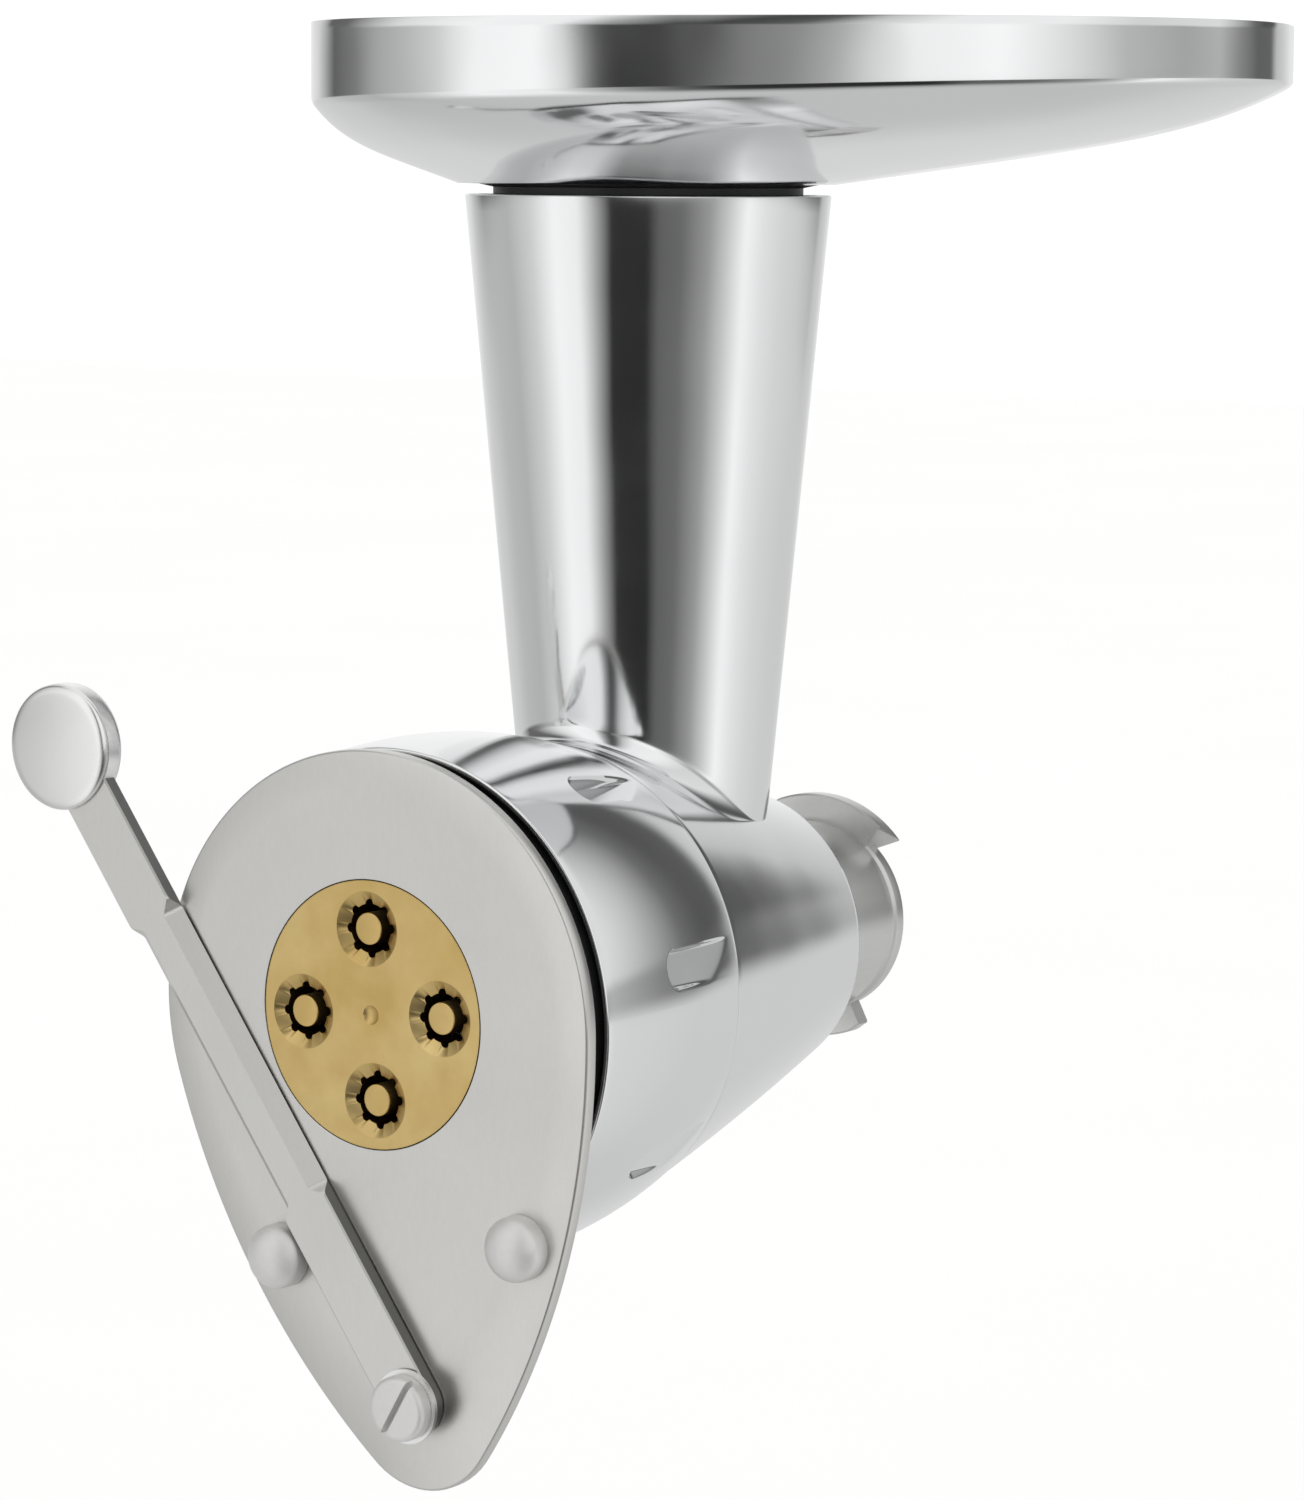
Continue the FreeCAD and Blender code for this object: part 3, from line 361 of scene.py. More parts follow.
def build_tube():
    """Tapered tube with a blend at its foot that is widest towards the nut."""
    segments = 256
    angles = np.linspace(0, 2 * math.pi, segments, endpoint=False)
    foot_radius = tube_radius(30)
    corner_z = foot_height(angles, foot_radius)
    blend = 0.5 + 5.0 * smoothstep(0.25, -0.75, np.sin(angles))
    rows = []

    def ring(radius, z):
        rows.append(np.stack([radius * np.cos(angles), TUBE_Y + radius * np.sin(angles),
                              z + 0 * angles], axis=1))

    socket_floor = TUBE_TOP - SOCKET_DEPTH
    for z, radius in ((socket_floor, SOCKET_FOOT_RADIUS), (socket_floor, SOCKET_RADIUS),
                      (TUBE_TOP - 0.5, SOCKET_RADIUS), (TUBE_TOP - 0.15, 26.8),
                      (TUBE_TOP, 27.2), (TUBE_TOP, 30.2), (TUBE_TOP - 0.08, 30.75),
                      (TUBE_TOP - 0.3, tube_radius(TUBE_TOP) - 0.04),
                      (TUBE_TOP - 0.45, tube_radius(TUBE_TOP - 0.45))):
        ring(radius + 0 * angles, z)
    for z in np.linspace(TUBE_TOP - 3, 44, 30):
        ring(tube_radius(z) + 0 * angles, z)
    top_of_blend = corner_z + blend
    for share in np.linspace(0.2, 1.0, 5):
        z = 44 + (top_of_blend - 44) * share
        ring(tube_radius(z), z)
    outer = tube_radius(corner_z) + blend
    outer_z = foot_height(angles, outer)
    inner_radius = tube_radius(top_of_blend)
    corner_radius = tube_radius(corner_z)
    for step in range(1, 25):
        share = step / 24
        weights = ((1 - share) ** 2, 2 * share * (1 - share), share ** 2)
        ring(weights[0] * inner_radius + weights[1] * corner_radius + weights[2] * outer,
             weights[0] * top_of_blend + weights[1] * corner_z + weights[2] * outer_z)
    ring(outer + 0.3, outer_z - 0.6)
    ring(18.0 + 0 * angles, foot_height(angles, 18.0) - 0.6)
    for z, radius in ((40, 18.6), (70, 21.0), (socket_floor, SOCKET_FOOT_RADIUS)):
        ring(radius + 0 * angles, z)
    points = np.concatenate(rows)
    faces = grid_faces(len(rows), segments)
    return mesh_piece("tube_shell", points, faces, "barrel", "polished_casting",
                      ("feed_tube",), 40)


def build_housing():
    """Conical housing with a threaded neck, a chamber and the throat under the tube."""
    neck_front, neck = HOUSING_LOW[1], NECK_RADIUS
    corners = [(REAR_Y, 14.0), (REAR_Y, REAR_RADIUS - 0.5, 2.6),
               (SEAM_Y - 0.1, SEAM_RADIUS - 0.02, 0.25), (SEAM_Y - 0.1, neck - 0.9)]
    lead, crest = 4.0, 0.8
    outline = [tuple(corner) for corner in rounded(corners)[:-1]]
    cone = np.linspace(REAR_Y - 3, SEAM_Y + 0.6, 60)
    cone_rows = [(y, barrel_radius(y)) for y in cone]
    split = next(index for index, row in enumerate(outline) if row[0] < SEAM_Y + 0.5)
    thread_rows = [(y, neck - 0.9) for y in np.linspace(SEAM_Y - 0.1, neck_front + 2, 120)]
    inside = [(neck_front + 1.2, neck - 0.9), (neck_front + 0.3, neck - 2),
              (neck_front, neck - 2.6), (neck_front, 30.6), (neck_front + 0.6, 30.0),
              *CHAMBER, (-38, 14.0)]
    profile = np.array(outline[:split] + cone_rows + outline[split:] + thread_rows + inside)
    segments = 256
    points = around(profile, "Y", segments=segments)
    first = len(outline) + len(cone_rows)
    angles = np.linspace(0, 2 * math.pi, segments, endpoint=False)
    for row, (y, radius) in enumerate(thread_rows):
        turn = ((y / lead + angles / (2 * math.pi)) % 1.0)
        lift = crest * smoothstep(0.0, 0.3, turn) * (1 - smoothstep(0.55, 0.85, turn))
        lift *= smoothstep(0, 3, SEAM_Y - 0.1 - y) * smoothstep(0, 2.5, y - neck_front - 2)
        rows = slice((first + row) * segments, (first + row + 1) * segments)
        points[rows, 0] = (radius + lift) * np.cos(angles)
        points[rows, 2] = (radius + lift) * np.sin(angles)
    faces = grid_faces(len(profile), segments)
    centres = points[np.array(faces)].mean(axis=1)
    open_radius = np.hypot(centres[:, 0], centres[:, 1] - TUBE_Y)
    faces = [face for face, hole in zip(faces, (open_radius < 18.2) & (centres[:, 2] > 0))
             if not hole]
    top = foot_height(angles, THROAT_RADIUS) - 0.3
    y_wall = TUBE_Y + THROAT_RADIUS * np.sin(angles)
    chamber = np.interp(y_wall, *zip(*CHAMBER))
    floor = np.sqrt(chamber ** 2 - (THROAT_RADIUS * np.cos(angles)) ** 2)
    for radius, height in ((19.6, top), (THROAT_RADIUS, top), (THROAT_RADIUS, floor),
                           (19.4, floor + 0.4)):
        points = np.concatenate([points, np.stack(
            [radius * np.cos(angles), TUBE_Y + radius * np.sin(angles), height], axis=1)])
    start = len(profile) * segments
    faces += grid_faces(4, segments, start=start)
    return mesh_piece("housing_shell", points, faces, "barrel", "polished_casting",
                      ("barrel_housing",), 38)


def build_hub():
    """Satin collar with two ramped bayonet lugs and the socket for the drive."""
    front = HUB_LOW[1]
    collar = [(0, 13.5, 0.5), (0, 17.4, 0.5), (-2.4, 17.4, 0.3), (-3.0, 17.0, 0.2),
              (-4.6, 17.0, 0.2), (-5.2, 17.4, 0.3), (REAR_Y, 17.4, 0.6),
              (REAR_Y, 14.0), (front, 14.0, 0.4), (front, 9.0), (-18, 9.0), (-18, 13.5)]
    outline = rounded(collar)
    points = [around(outline, "Y", segments=160)]
    faces = grid_faces(len(outline), 160, close_rows=True)
    start = len(points[0])
    lug_front, outer, steps = -3.2, 22.05, 40
    for base in (42, 222):
        section = []
        for step in range(steps + 1):
            share = step / steps
            angle = math.radians(base + 75.5 * share)
            reach = outer - 0.5 * smoothstep(0.9, 1, share)
            slant = math.radians(9) * (1 - share)
            for y, radius, lag in ((-0.05, 16.6, 0.8), (-0.05, reach - 0.35, 0), (-0.4, reach, 0),
                                   (lug_front + 0.35, reach, 1), (lug_front, reach - 0.35, 1),
                                   (lug_front, 16.6, 1)):
                turn = angle + slant * lag
                section.append((radius * math.cos(turn), y, radius * math.sin(turn)))
        section = np.array(section)
        faces += grid_faces(steps + 1, 6, start=start)
        last = start + steps * 6
        faces += [tuple(range(start + 5, start - 1, -1)), tuple(range(last, last + 6))]
        points.append(section)
        start += len(section)
    return mesh_piece("hub_shell", np.concatenate(points), faces, "barrel",
                      "satin_aluminium", ("hub_collar",), 30)


# ------------------------------------------------------------------ ring nut
GRIP_COUNT, GRIP_TURN, GRIP_HALF_WIDTH, GRIP_FLAT = 8, math.radians(11), 3.3, 40.9
GRIP_FRONT, GRIP_SLOPE = -110.6, 0.287
RIM_RADIUS, NUT_BULGE_RADIUS = 42.4, 99.0


def nut_outside(y):
    """Bulged outer radius of the ring nut: an arc between its seam and its rim."""
    chord = RIM_Y + 0.5 - SEAM_Y
    share = (y - SEAM_Y) / chord
    bulge = chord ** 2 / (8 * NUT_BULGE_RADIUS)
    return SEAM_RADIUS + (RIM_RADIUS - SEAM_RADIUS) * share + bulge * 4 * share * (1 - share)


def grip_depth(y, angle, radius):
    """How far a milled flat cuts below the ring's surface, with softened edges."""
    pitch = 2 * math.pi / GRIP_COUNT
    offset = (angle - GRIP_TURN + pitch / 2) % pitch - pitch / 2
    across = radius * np.sin(offset)
    along = np.maximum(GRIP_FRONT + GRIP_HALF_WIDTH - y, 0)
    edge = GRIP_HALF_WIDTH - np.hypot(across, along)
    floor = (GRIP_FLAT - GRIP_SLOPE * across) / np.cos(offset)
    cut = radius - floor
    cut = 0.5 * (cut + np.sqrt(cut * cut + 0.02))
    return cut * smoothstep(-0.1, 0.7, edge)


def build_nut():
    """Ring nut with eight finger grips; rows and columns are dense where the grips are."""
    pitch = 2 * math.pi / GRIP_COUNT
    reach = 0.135
    dense = np.linspace(-reach, reach, 64)
    sparse = np.linspace(reach, pitch - reach, 16)[1:-1]
    one = np.concatenate([dense, sparse])
    angles = np.concatenate([GRIP_TURN + one + pitch * index for index in range(GRIP_COUNT)])
    rows_y = np.concatenate([np.linspace(SEAM_Y - 0.35, -107.0, 56),
                             np.linspace(-107.2, -111.6, 34), np.linspace(-112.2, -125.3, 18)])
    outside = [(y, nut_outside(y)) for y in rows_y]
    rim = nut_outside(RIM_Y + 1)
    lip_front, lip_back = -122.2, -119.2
    front = rounded([(-125.4, rim), (RIM_Y, rim - 0.15, 0.7), (RIM_Y, 41.5, 0.25),
                     (RIM_Y + 1.4, 40.4, 0.15), (lip_front, 40.4), (lip_front, 29.3, 0.4),
                     (lip_back, 29.3, 0.4), (lip_back, 36.7), (SEAM_Y, 36.75, 0.3),
                     (SEAM_Y, 38.95, 0.2)])
    profile = np.array(outside + [tuple(row) for row in front[1:]])
    along = profile[:, 0][:, None] + 0 * angles
    radius = profile[:, 1][:, None] + 0 * angles
    cut_rows = len(outside)
    radius[:cut_rows] -= grip_depth(along[:cut_rows], angles, radius[:cut_rows])
    points = np.stack([radius * np.cos(angles), along, radius * np.sin(angles)],
                      axis=-1).reshape(-1, 3)
    faces = grid_faces(len(profile), len(angles), close_rows=True)
    return mesh_piece("ring_nut_shell", points, faces, "nut", "polished_casting",
                      ("ring_nut",), 48)


# ------------------------------------------------------------------ die
HOLE_CIRCLE, DIE_TURN = 13.8, math.radians(3.4)
DIE_RADIUS = 21.65
BORE_RADIUS, LOBE_RADIUS, SINK_RADIUS = 4.0, 0.75, 6.1
PIN_RADIUS, DIMPLE_RADIUS = 2.6, 1.55


def circle(angles, y, radius):
    """Points round the barrel's direction at one depth; the radius may change with angle."""
    return np.stack([radius * np.cos(angles), y + 0 * angles, radius * np.sin(angles)], axis=1)


def lobed(angles):
    """Outline of a die hole: a round bore with eight small round lobes on its edge."""
    offset = (angles + math.pi / 8) % (math.pi / 4) - math.pi / 8
    inside = LOBE_RADIUS ** 2 - (BORE_RADIUS * np.sin(offset)) ** 2
    return np.maximum(BORE_RADIUS,
                      BORE_RADIUS * np.cos(offset) + np.sqrt(np.maximum(inside, 0)))


def build_die():
    """Brass die: flange, nose and a face with four countersunk, lobed holes."""
    corners = [(PLATE_FRONT, DIE_RADIUS - 0.16), (PLATE_FRONT, DIE_RADIUS, 0.1),
               (-119, DIE_RADIUS), (-119, 35.5, 0.4), (-114, 35.5, 0.4), (-114, 8.6, 0.2)]
    outline = rounded(corners)
    count = 192
    points = [around(outline, "Y", segments=count)]
    faces = grid_faces(len(outline), count)
    start = len(points[0])
    angles = np.linspace(0, 2 * math.pi, count, endpoint=False)
    for station in range(4):
        turn = DIE_TURN + station * math.pi / 2
        centre = np.array([HOLE_CIRCLE * math.cos(turn), 0, HOLE_CIRCLE * math.sin(turn)])
        lobes = lobed(angles - turn)
        sink = ((PLATE_FRONT, SINK_RADIUS + 0 * angles),
                (PLATE_FRONT + 0.1, SINK_RADIUS - 0.2 + 0 * angles),
                (PLATE_FRONT + 0.95, lobes + 0.12), (PLATE_FRONT + 1.05, lobes))
        for y, radius in sink:
            points.append(circle(angles, y, radius) + centre)
        faces += grid_faces(len(sink), count, start=start)
        start += len(sink) * count
        bore = [circle(angles, PLATE_FRONT + depth, lobes) + centre for depth in (1.05, 3, 7)]
        # The bore walls get the very dark brass: painted shade for the unlit inside of each hole.
        mesh_piece("die_bore_%d" % station, np.concatenate(bore), grid_faces(3, count), "die",
                   "die_brass", finish="painted_shade_brass")
    mesh_piece("die_body", np.concatenate(points), faces, "die", "die_brass",
               ("die_plate",), 30)
    build_die_face()


def build_die_face():
    """Flat face of the die, open at the countersinks, with a plain dimple in its middle."""
    curve = bpy.data.curves.new("die_face_outline", "CURVE")
    curve.dimensions = "2D"
    curve.fill_mode = "BOTH"
    circles = [((0, 0), DIE_RADIUS - 0.15, 192)]
    for station in range(4):
        turn = DIE_TURN + station * math.pi / 2
        circles.append(((HOLE_CIRCLE * math.cos(turn), HOLE_CIRCLE * math.sin(turn)),
                        SINK_RADIUS, 96))
    circles.append(((0, 0), DIMPLE_RADIUS, 48))
    for (x, z), radius, count in circles:
        spline = curve.splines.new("POLY")
        spline.points.add(count - 1)
        spline.use_cyclic_u = True
        for index, point in enumerate(spline.points):
            angle = 2 * math.pi * index / count
            point.co = ((x + radius * math.cos(angle)) * MM,
                        (z + radius * math.sin(angle)) * MM, 0, 1)
    holder = bpy.data.objects.new("die_face_holder", curve)
    bpy.context.scene.collection.objects.link(holder)
    flat = bpy.data.meshes.new_from_object(holder)
    bpy.data.objects.remove(holder)
    points = [(vertex.co.x / MM, PLATE_FRONT, vertex.co.y / MM) for vertex in flat.vertices]
    faces = [tuple(face.vertices)[::-1] for face in flat.polygons]
    start = len(points)
    angles = np.linspace(0, 2 * math.pi, 48, endpoint=False)
    for radius, depth in ((DIMPLE_RADIUS, 0), (1.4, 0.12), (0.9, 0.34), (0.25, 0.46), (0.02, 0.47)):
        points += [(radius * math.cos(a), PLATE_FRONT + depth, radius * math.sin(a))
                   for a in angles]
    faces += grid_faces(5, 48, start=start)
    mesh_piece("die_face", points, faces, "die", "die_brass", (), 30)


def build_mandrels():
    """Four brass pins with slightly eased ends, standing in the die's holes."""
    for station in range(4):
        turn = DIE_TURN + station * math.pi / 2
        place = (HOLE_CIRCLE * math.cos(turn), 0, HOLE_CIRCLE * math.sin(turn))
        front = PLATE_FRONT + 0.42
        lathe("mandrel_%d" % station,
              [(front, 0.01), (front, PIN_RADIUS, 0.25), (-126.6, PIN_RADIUS), (-126.6, 0.01)],
              "Y", "die", "die_brass", ("die_mandrels",), place, 64, 30)


# ------------------------------------------------------------------ cutter plate and fittings
def egg_radius(angle):
    """Distance from the die's axis to the plate's edge; angle 0 points to the pivot."""
    big, tip, side = 42.5, 14.5, 127.0
    reach_big, reach_tip = side - big, side - tip
    centre_z = (reach_tip ** 2 - reach_big ** 2 - PIVOT_DROP ** 2) / (2 * PIVOT_DROP)
    centre_x = math.sqrt(reach_big ** 2 - centre_z ** 2)
    angle = abs((angle + math.pi) % (2 * math.pi) - math.pi)
    big_touch = math.atan2(centre_x, centre_z)
    touch_tip = np.array([centre_x / reach_tip * tip,
                          PIVOT_DROP + (centre_z + PIVOT_DROP) / reach_tip * tip])
    tip_touch = math.atan2(touch_tip[0], touch_tip[1])
    if angle >= big_touch:
        return big
    direction = np.array([math.sin(angle), math.cos(angle)])
    if angle > tip_touch:
        centre, radius = np.array([-centre_x, -centre_z]), side
    else:
        centre, radius = np.array([0, PIVOT_DROP]), tip
    along = direction @ centre
    return along + math.sqrt(along ** 2 - centre @ centre + radius ** 2)


def build_plate():
    """Egg-shaped satin plate with eased edges and a round window."""
    segments = 360
    angles = np.linspace(0, 2 * math.pi, segments, endpoint=False)
    edge = np.array([egg_radius(angle) for angle in angles])
    window = DIE_RADIUS + 0.15
    rows = []
    sections = ((PLATE_BACK, 0.35, 0), (PLATE_BACK, 1.0, -0.45), (PLATE_BACK - 0.1, 1.0, -0.15),
                (PLATE_BACK - 0.4, 1.0, 0), (PLATE_FRONT + 0.5, 1.0, 0),
                (PLATE_FRONT + 0.2, 1.0, -0.12), (PLATE_FRONT + 0.05, 1.0, -0.3),
                (PLATE_FRONT, 1.0, -0.5), (PLATE_FRONT, 0.7, 0), (PLATE_FRONT, 0.35, 0),
                (PLATE_FRONT, 0.0, 0.1), (PLATE_FRONT + 0.05, 0.0, 0.02),
                (PLATE_FRONT + 0.25, 0.0, 0), (PLATE_BACK - 0.2, 0.0, 0), (PLATE_BACK, 0.0, 0.2))
    for y, share, nudge in sections:
        radius = window + (edge - window) * share + nudge
        rows.append(np.stack([radius * np.sin(angles), y + 0 * angles,
                              -radius * np.cos(angles)], axis=1))
    points = turned_front(np.concatenate(rows), CUTTER_TURN, (0, 0, 0))
    faces = grid_faces(len(rows), segments, close_rows=True)
    return mesh_piece("plate_sheet", points, faces, "cutter", "satin_steel",
                      ("cutter_plate",), 30)


def build_rivets():
    """Two domed stop rivets with a short rim and a flat tail."""
    across, drop, dome_radius = 24.3, 38.0, 5.2
    top, rim = RIVETS_LOW[1], PLATE_FRONT - 2.2
    for index, side in enumerate((-1, 1)):
        place = turned_front([(side * across, 0, -drop)], CUTTER_TURN, (0, 0, 0))[0]
        dome = [(top + (rim - top) * (1 - math.cos(a)), dome_radius * math.sin(a))
                for a in np.linspace(0.01, math.pi / 2, 24)]
        lathe("stop_rivet_%d" % index,
              dome + [(rim + 0.15, 5.25), (PLATE_FRONT - 0.3, 5.25, 0.15),
                      (PLATE_FRONT, 5.1), (PLATE_FRONT, 2.4), (PLATE_BACK, 2.4),
                      (PLATE_BACK, 4.0, 0.1), (PLATE_BACK + 1.2, 3.9, 0.5),
                      (PLATE_BACK + 1.2, 0.02)], "Y", "cutter", "bright_steel",
              ("stop_rivets",), place, 96, 40, "rivet_steel")


def build_screw():
    """Slotted pivot screw with a rounded head; the slot is cut with a slim block."""
    top = SCREW_LOW[1]
    place = (PIVOT[0], 0, PIVOT[2])
    corners = [(top, 0.02), (top, 5.3, 1.1), (top + 2.7, 5.3, 0.25), (top + 2.7, 3.0),
               (SCREW_HIGH[1], 3.0, 0.5), (SCREW_HIGH[1], 0.02)]
    screw = lathe("pivot_screw_head", corners, "Y", "cutter", "bright_steel",
                  ("pivot_screw",), place, 96, 35, "rivet_steel")
    slot_turn = math.radians(60)
    half = np.array([7.0, 1.6, 0.55])
    signs = [(x, y, z) for x in (-1, 1) for y in (-1, 1) for z in (-1, 1)]
    corners = turned_front([np.array(sign) * half for sign in signs], slot_turn,
                           (PIVOT[0], top, PIVOT[2]))
    faces = [(0, 1, 3, 2), (4, 6, 7, 5), (0, 4, 5, 1), (2, 3, 7, 6), (0, 2, 6, 4), (1, 5, 7, 3)]
    mesh = bpy.data.meshes.new("slot_tool")
    mesh.from_pydata((corners * MM).tolist(), [], faces)
    tool = bpy.data.objects.new("slot_tool", mesh)
    bpy.context.scene.collection.objects.link(tool)
    modifier = screw.modifiers.new("slot", "BOOLEAN")
    modifier.operation = "DIFFERENCE"
    modifier.solver = "EXACT"
    modifier.object = tool
    bpy.context.view_layer.update()
    graph = bpy.context.evaluated_depsgraph_get()
    slotted = bpy.data.meshes.new_from_object(screw.evaluated_get(graph))
    screw.modifiers.clear()
    screw.data = slotted
    screw.data.set_sharp_from_angle(angle=math.radians(35))
    bpy.data.objects.remove(tool)
    return screw


def build_carrier():
    """Black plastic ring behind the plate, with a shallow groove round its edge."""
    return lathe("carrier_shell", [
        (PLATE_BACK, 22.0), (PLATE_BACK, 40.0, 0.5), (-127.6, 40.0, 0.2), (-127.4, 39.6, 0.1),
        (-127.0, 39.6, 0.1), (-126.8, 40.0, 0.2), (-122.6, 40.0, 0.4), (-122.6, 28.9, 0.3),
        (-119.6, 28.9, 0.4), (-119.6, 22.0)], "Y", "cutter", "black_plastic",
        ("carrier_ring",))


# ------------------------------------------------------------------ lever
def build_lever():
    """Flat bar with a round end; over the die both edges are ground to a bevel."""
    back, front = LEVER_HIGH[1], LEVER_LOW[1]
    half, bevel_width, round_edge = 5.0, 2.4, 0.3
    start, end = 36.0, 92.0
    stations = np.concatenate([
        -half * np.cos(np.linspace(0.02, math.pi / 2, 16)), np.linspace(0.6, start - 0.5, 14),
        np.linspace(start, start + 3.0, 14), np.linspace(start + 4, end - 4, 30),
        np.linspace(end - 3.0, end, 14), np.linspace(end + 0.6, LEVER_LENGTH - 4, 14)])
    rows = []
    for station in stations:
        wide = math.sqrt(max(half ** 2 - station ** 2, 0.01)) if station < 0 else half
        ease = smoothstep(start, start + 2.6, station) * (1 - smoothstep(end - 2.6, end, station))
        bevel = bevel_width * ease
        edge_y = back + (front - back) * (1 - 0.93 * ease) * 0.9
        rows.append([
            (-wide + 0.15, back, station), (wide - 0.15, back, station),
            (wide, back - 0.12, station), (wide, edge_y, station),
            (wide - round_edge * (1 - ease) - bevel, front, station),
            (-wide + round_edge * (1 - ease) + bevel, front, station),
            (-wide, edge_y, station), (-wide, back - 0.12, station)])
    points = turned_front(np.array(rows).reshape(-1, 3), LEVER_TURN, (PIVOT[0], 0, PIVOT[2]))
    faces = grid_faces(len(rows), 8)
    last = (len(rows) - 1) * 8
    faces += [tuple(range(7, -1, -1)), tuple(range(last, last + 8))]
    bar = mesh_piece("lever_bar", points, faces, "lever", "satin_steel", ("cutter_lever",), 22)
    # The lever's side faces and ends get the dark steel: painted shade along the bar's edges.
    bar.data.materials.append(MATERIALS["painted_shade_steel"])
    for face in bar.data.polygons:
        face.material_index = int(abs(face.normal.y) < 0.4)
    return bar


def build_knob():
    """Round grip with a barely domed face and a fine groove behind the face's edge."""
    front, back = KNOB_LOW[1], KNOB_HIGH[1]
    middle = (front + back) / 2
    face = 9.0
    dome = [(front + 0.45 * (r / face) ** 2, r) for r in np.linspace(0.02, face, 14)]
    tail = [(back - 0.25 * (r / face) ** 2, r) for r in np.linspace(face, 0.02, 12)]
    corners = dome + [(front + 0.6, 9.9), (front + 0.85, 10.25), (front + 1.15, 10.4),
                      (front + 1.3, 10.1), (front + 1.5, 10.1), (front + 1.65, 10.45),
                      (front + 2.4, 10.5), (middle + 1.2, 10.5), (back - 0.9, 10.4),
                      (back - 0.4, 9.9)] + tail
    return lathe("knob_shell", corners, "Y", "lever", "bright_steel",
                 ("lever_knob", "knob_rivet"), (KNOB[0], 0, KNOB[2]), 160, 40)


# ------------------------------------------------------------------ tray
PAN = {"half_length": 81.5, "half_width": 59.5, "offset": 26.0, "turn": math.radians(23),
       "roundness": 2.5, "near": 144.7, "far": 148.2, "floor": 131.5, "base": 31.3,
       "sheet": 1.2, "hole": 24.0}


def funnel_ring(angles, inset, share, lift):
    """A ring of the pan's floor, from its base circle (share 0) to the crease (share 1)."""
    power = 2 / PAN["roundness"]
    cos, sin = np.cos(angles), np.sin(angles)
    length = PAN["base"] + (PAN["half_length"] - PAN["base"]) * share - inset
    width = PAN["base"] + (PAN["half_width"] - PAN["base"]) * share - inset
    x = length * np.sign(cos) * np.abs(cos) ** power
    y = width * np.sign(sin) * np.abs(sin) ** power
    crease = PAN["near"] + (PAN["far"] - PAN["near"]) * (x + length) / (2 * length)
    climb = 0.66 * share + 0.34 * share ** 5.5
    z = PAN["floor"] + (crease - PAN["floor"]) * climb + lift
    return np.stack([x + PAN["offset"] * share, y, z], axis=1)


def build_pan():
    """Spun oval pan: funnel floor, soft crease, upright wall and an eased rim."""
    angles = np.linspace(0, 2 * math.pi, 320, endpoint=False)
    angles = angles - 0.045 * np.sin(4 * angles)
    rim, sheet = PAN_HIGH[2], PAN["sheet"]

    def skin(inset, lift):
        """Rings of one side of the sheet, from the hole's edge up to the wall's top."""
        rows = [funnel_ring(angles, inset, share, lift) for share in np.linspace(0, 0.98, 44)]
        below, corner = rows[-1], funnel_ring(angles, inset, 1, lift)
        above = corner + (0, 0, 0.8)
        for step in range(1, 10):
            share = step / 10
            rows.append((1 - share) ** 2 * below + 2 * share * (1 - share) * corner
                        + share ** 2 * above)
        for share in np.linspace(0, 1, 8):
            level = above.copy()
            level[:, 2] += (rim - 0.15 - level[:, 2]) * share
            rows.append(level)
        return rows

    outside, inside = skin(0, 0), skin(sheet, sheet)
    edge = []
    for inset, drop in ((0.04, 0.05), (0.15, 0.0), (sheet - 0.15, 0.0), (sheet - 0.04, 0.05)):
        level = funnel_ring(angles, inset, 1, 0)
        level[:, 2] = rim - drop
        edge.append(level)
    hole = np.stack([PAN["hole"] * np.cos(angles), PAN["hole"] * np.sin(angles),
                     PAN["floor"] + 0 * angles], axis=1)
    rows = [hole + (0, 0, sheet), hole] + outside + edge + inside[::-1]
    points = np.concatenate(rows)
    cos, sin = math.cos(PAN["turn"]), math.sin(PAN["turn"])
    x = points[:, 0] * cos - points[:, 1] * sin
    y = points[:, 0] * sin + points[:, 1] * cos + TUBE_Y
    points = np.stack([x, y, points[:, 2]], axis=1)
    faces = grid_faces(len(rows), len(angles), close_rows=True)
    return mesh_piece("pan_shell", points, faces, "tray", "polished_sheet",
                      ("tray_pan",), 40)


def build_spigot():
    """Dark sleeve under the pan with a flared shoulder and a groove for its ring."""
    foot, sleeve = 108.4, 26.2
    return lathe("spigot_shell", [
        (foot, PAN["hole"], 0.3), (foot, sleeve, 0.6), (115.9, sleeve, 0.15), (115.9, 24.9),
        (118.1, 24.9), (118.1, sleeve, 0.15), (PAN["floor"] - 0.6, sleeve),
        (PAN["floor"], 29.0), (PAN["floor"], PAN["hole"])], "Z",
        "tray", "dark_plastic", ("tray_spigot",), (0, TUBE_Y, 0))


# ------------------------------------------------------------------ studio
VIEW_AZIMUTH, VIEW_PITCH, VIEW_ROLL = (math.radians(angle) for angle in (34.886, 6.953, 0.318))
VIEW_PLACE = (0.47093, -0.73001, 0.13543)


def build_camera():
    """Long lens to the front and right of the part, a little above it."""
    camera = bpy.data.objects.new("camera", bpy.data.cameras.new("camera"))
    bpy.context.scene.collection.objects.link(camera)
    camera.data.sensor_width = 36
    camera.data.lens = 116.03
    camera.data.clip_start, camera.data.clip_end = 0.05, 20
    forward = Vector((-math.sin(VIEW_AZIMUTH) * math.cos(VIEW_PITCH),
                      math.cos(VIEW_AZIMUTH) * math.cos(VIEW_PITCH), -math.sin(VIEW_PITCH)))
    turn = forward.to_track_quat("-Z", "Y").to_matrix().to_4x4()
    camera.matrix_world = Matrix.Translation(VIEW_PLACE) @ turn @ Matrix.Rotation(VIEW_ROLL, 4, "Z")
    bpy.context.scene.camera = camera


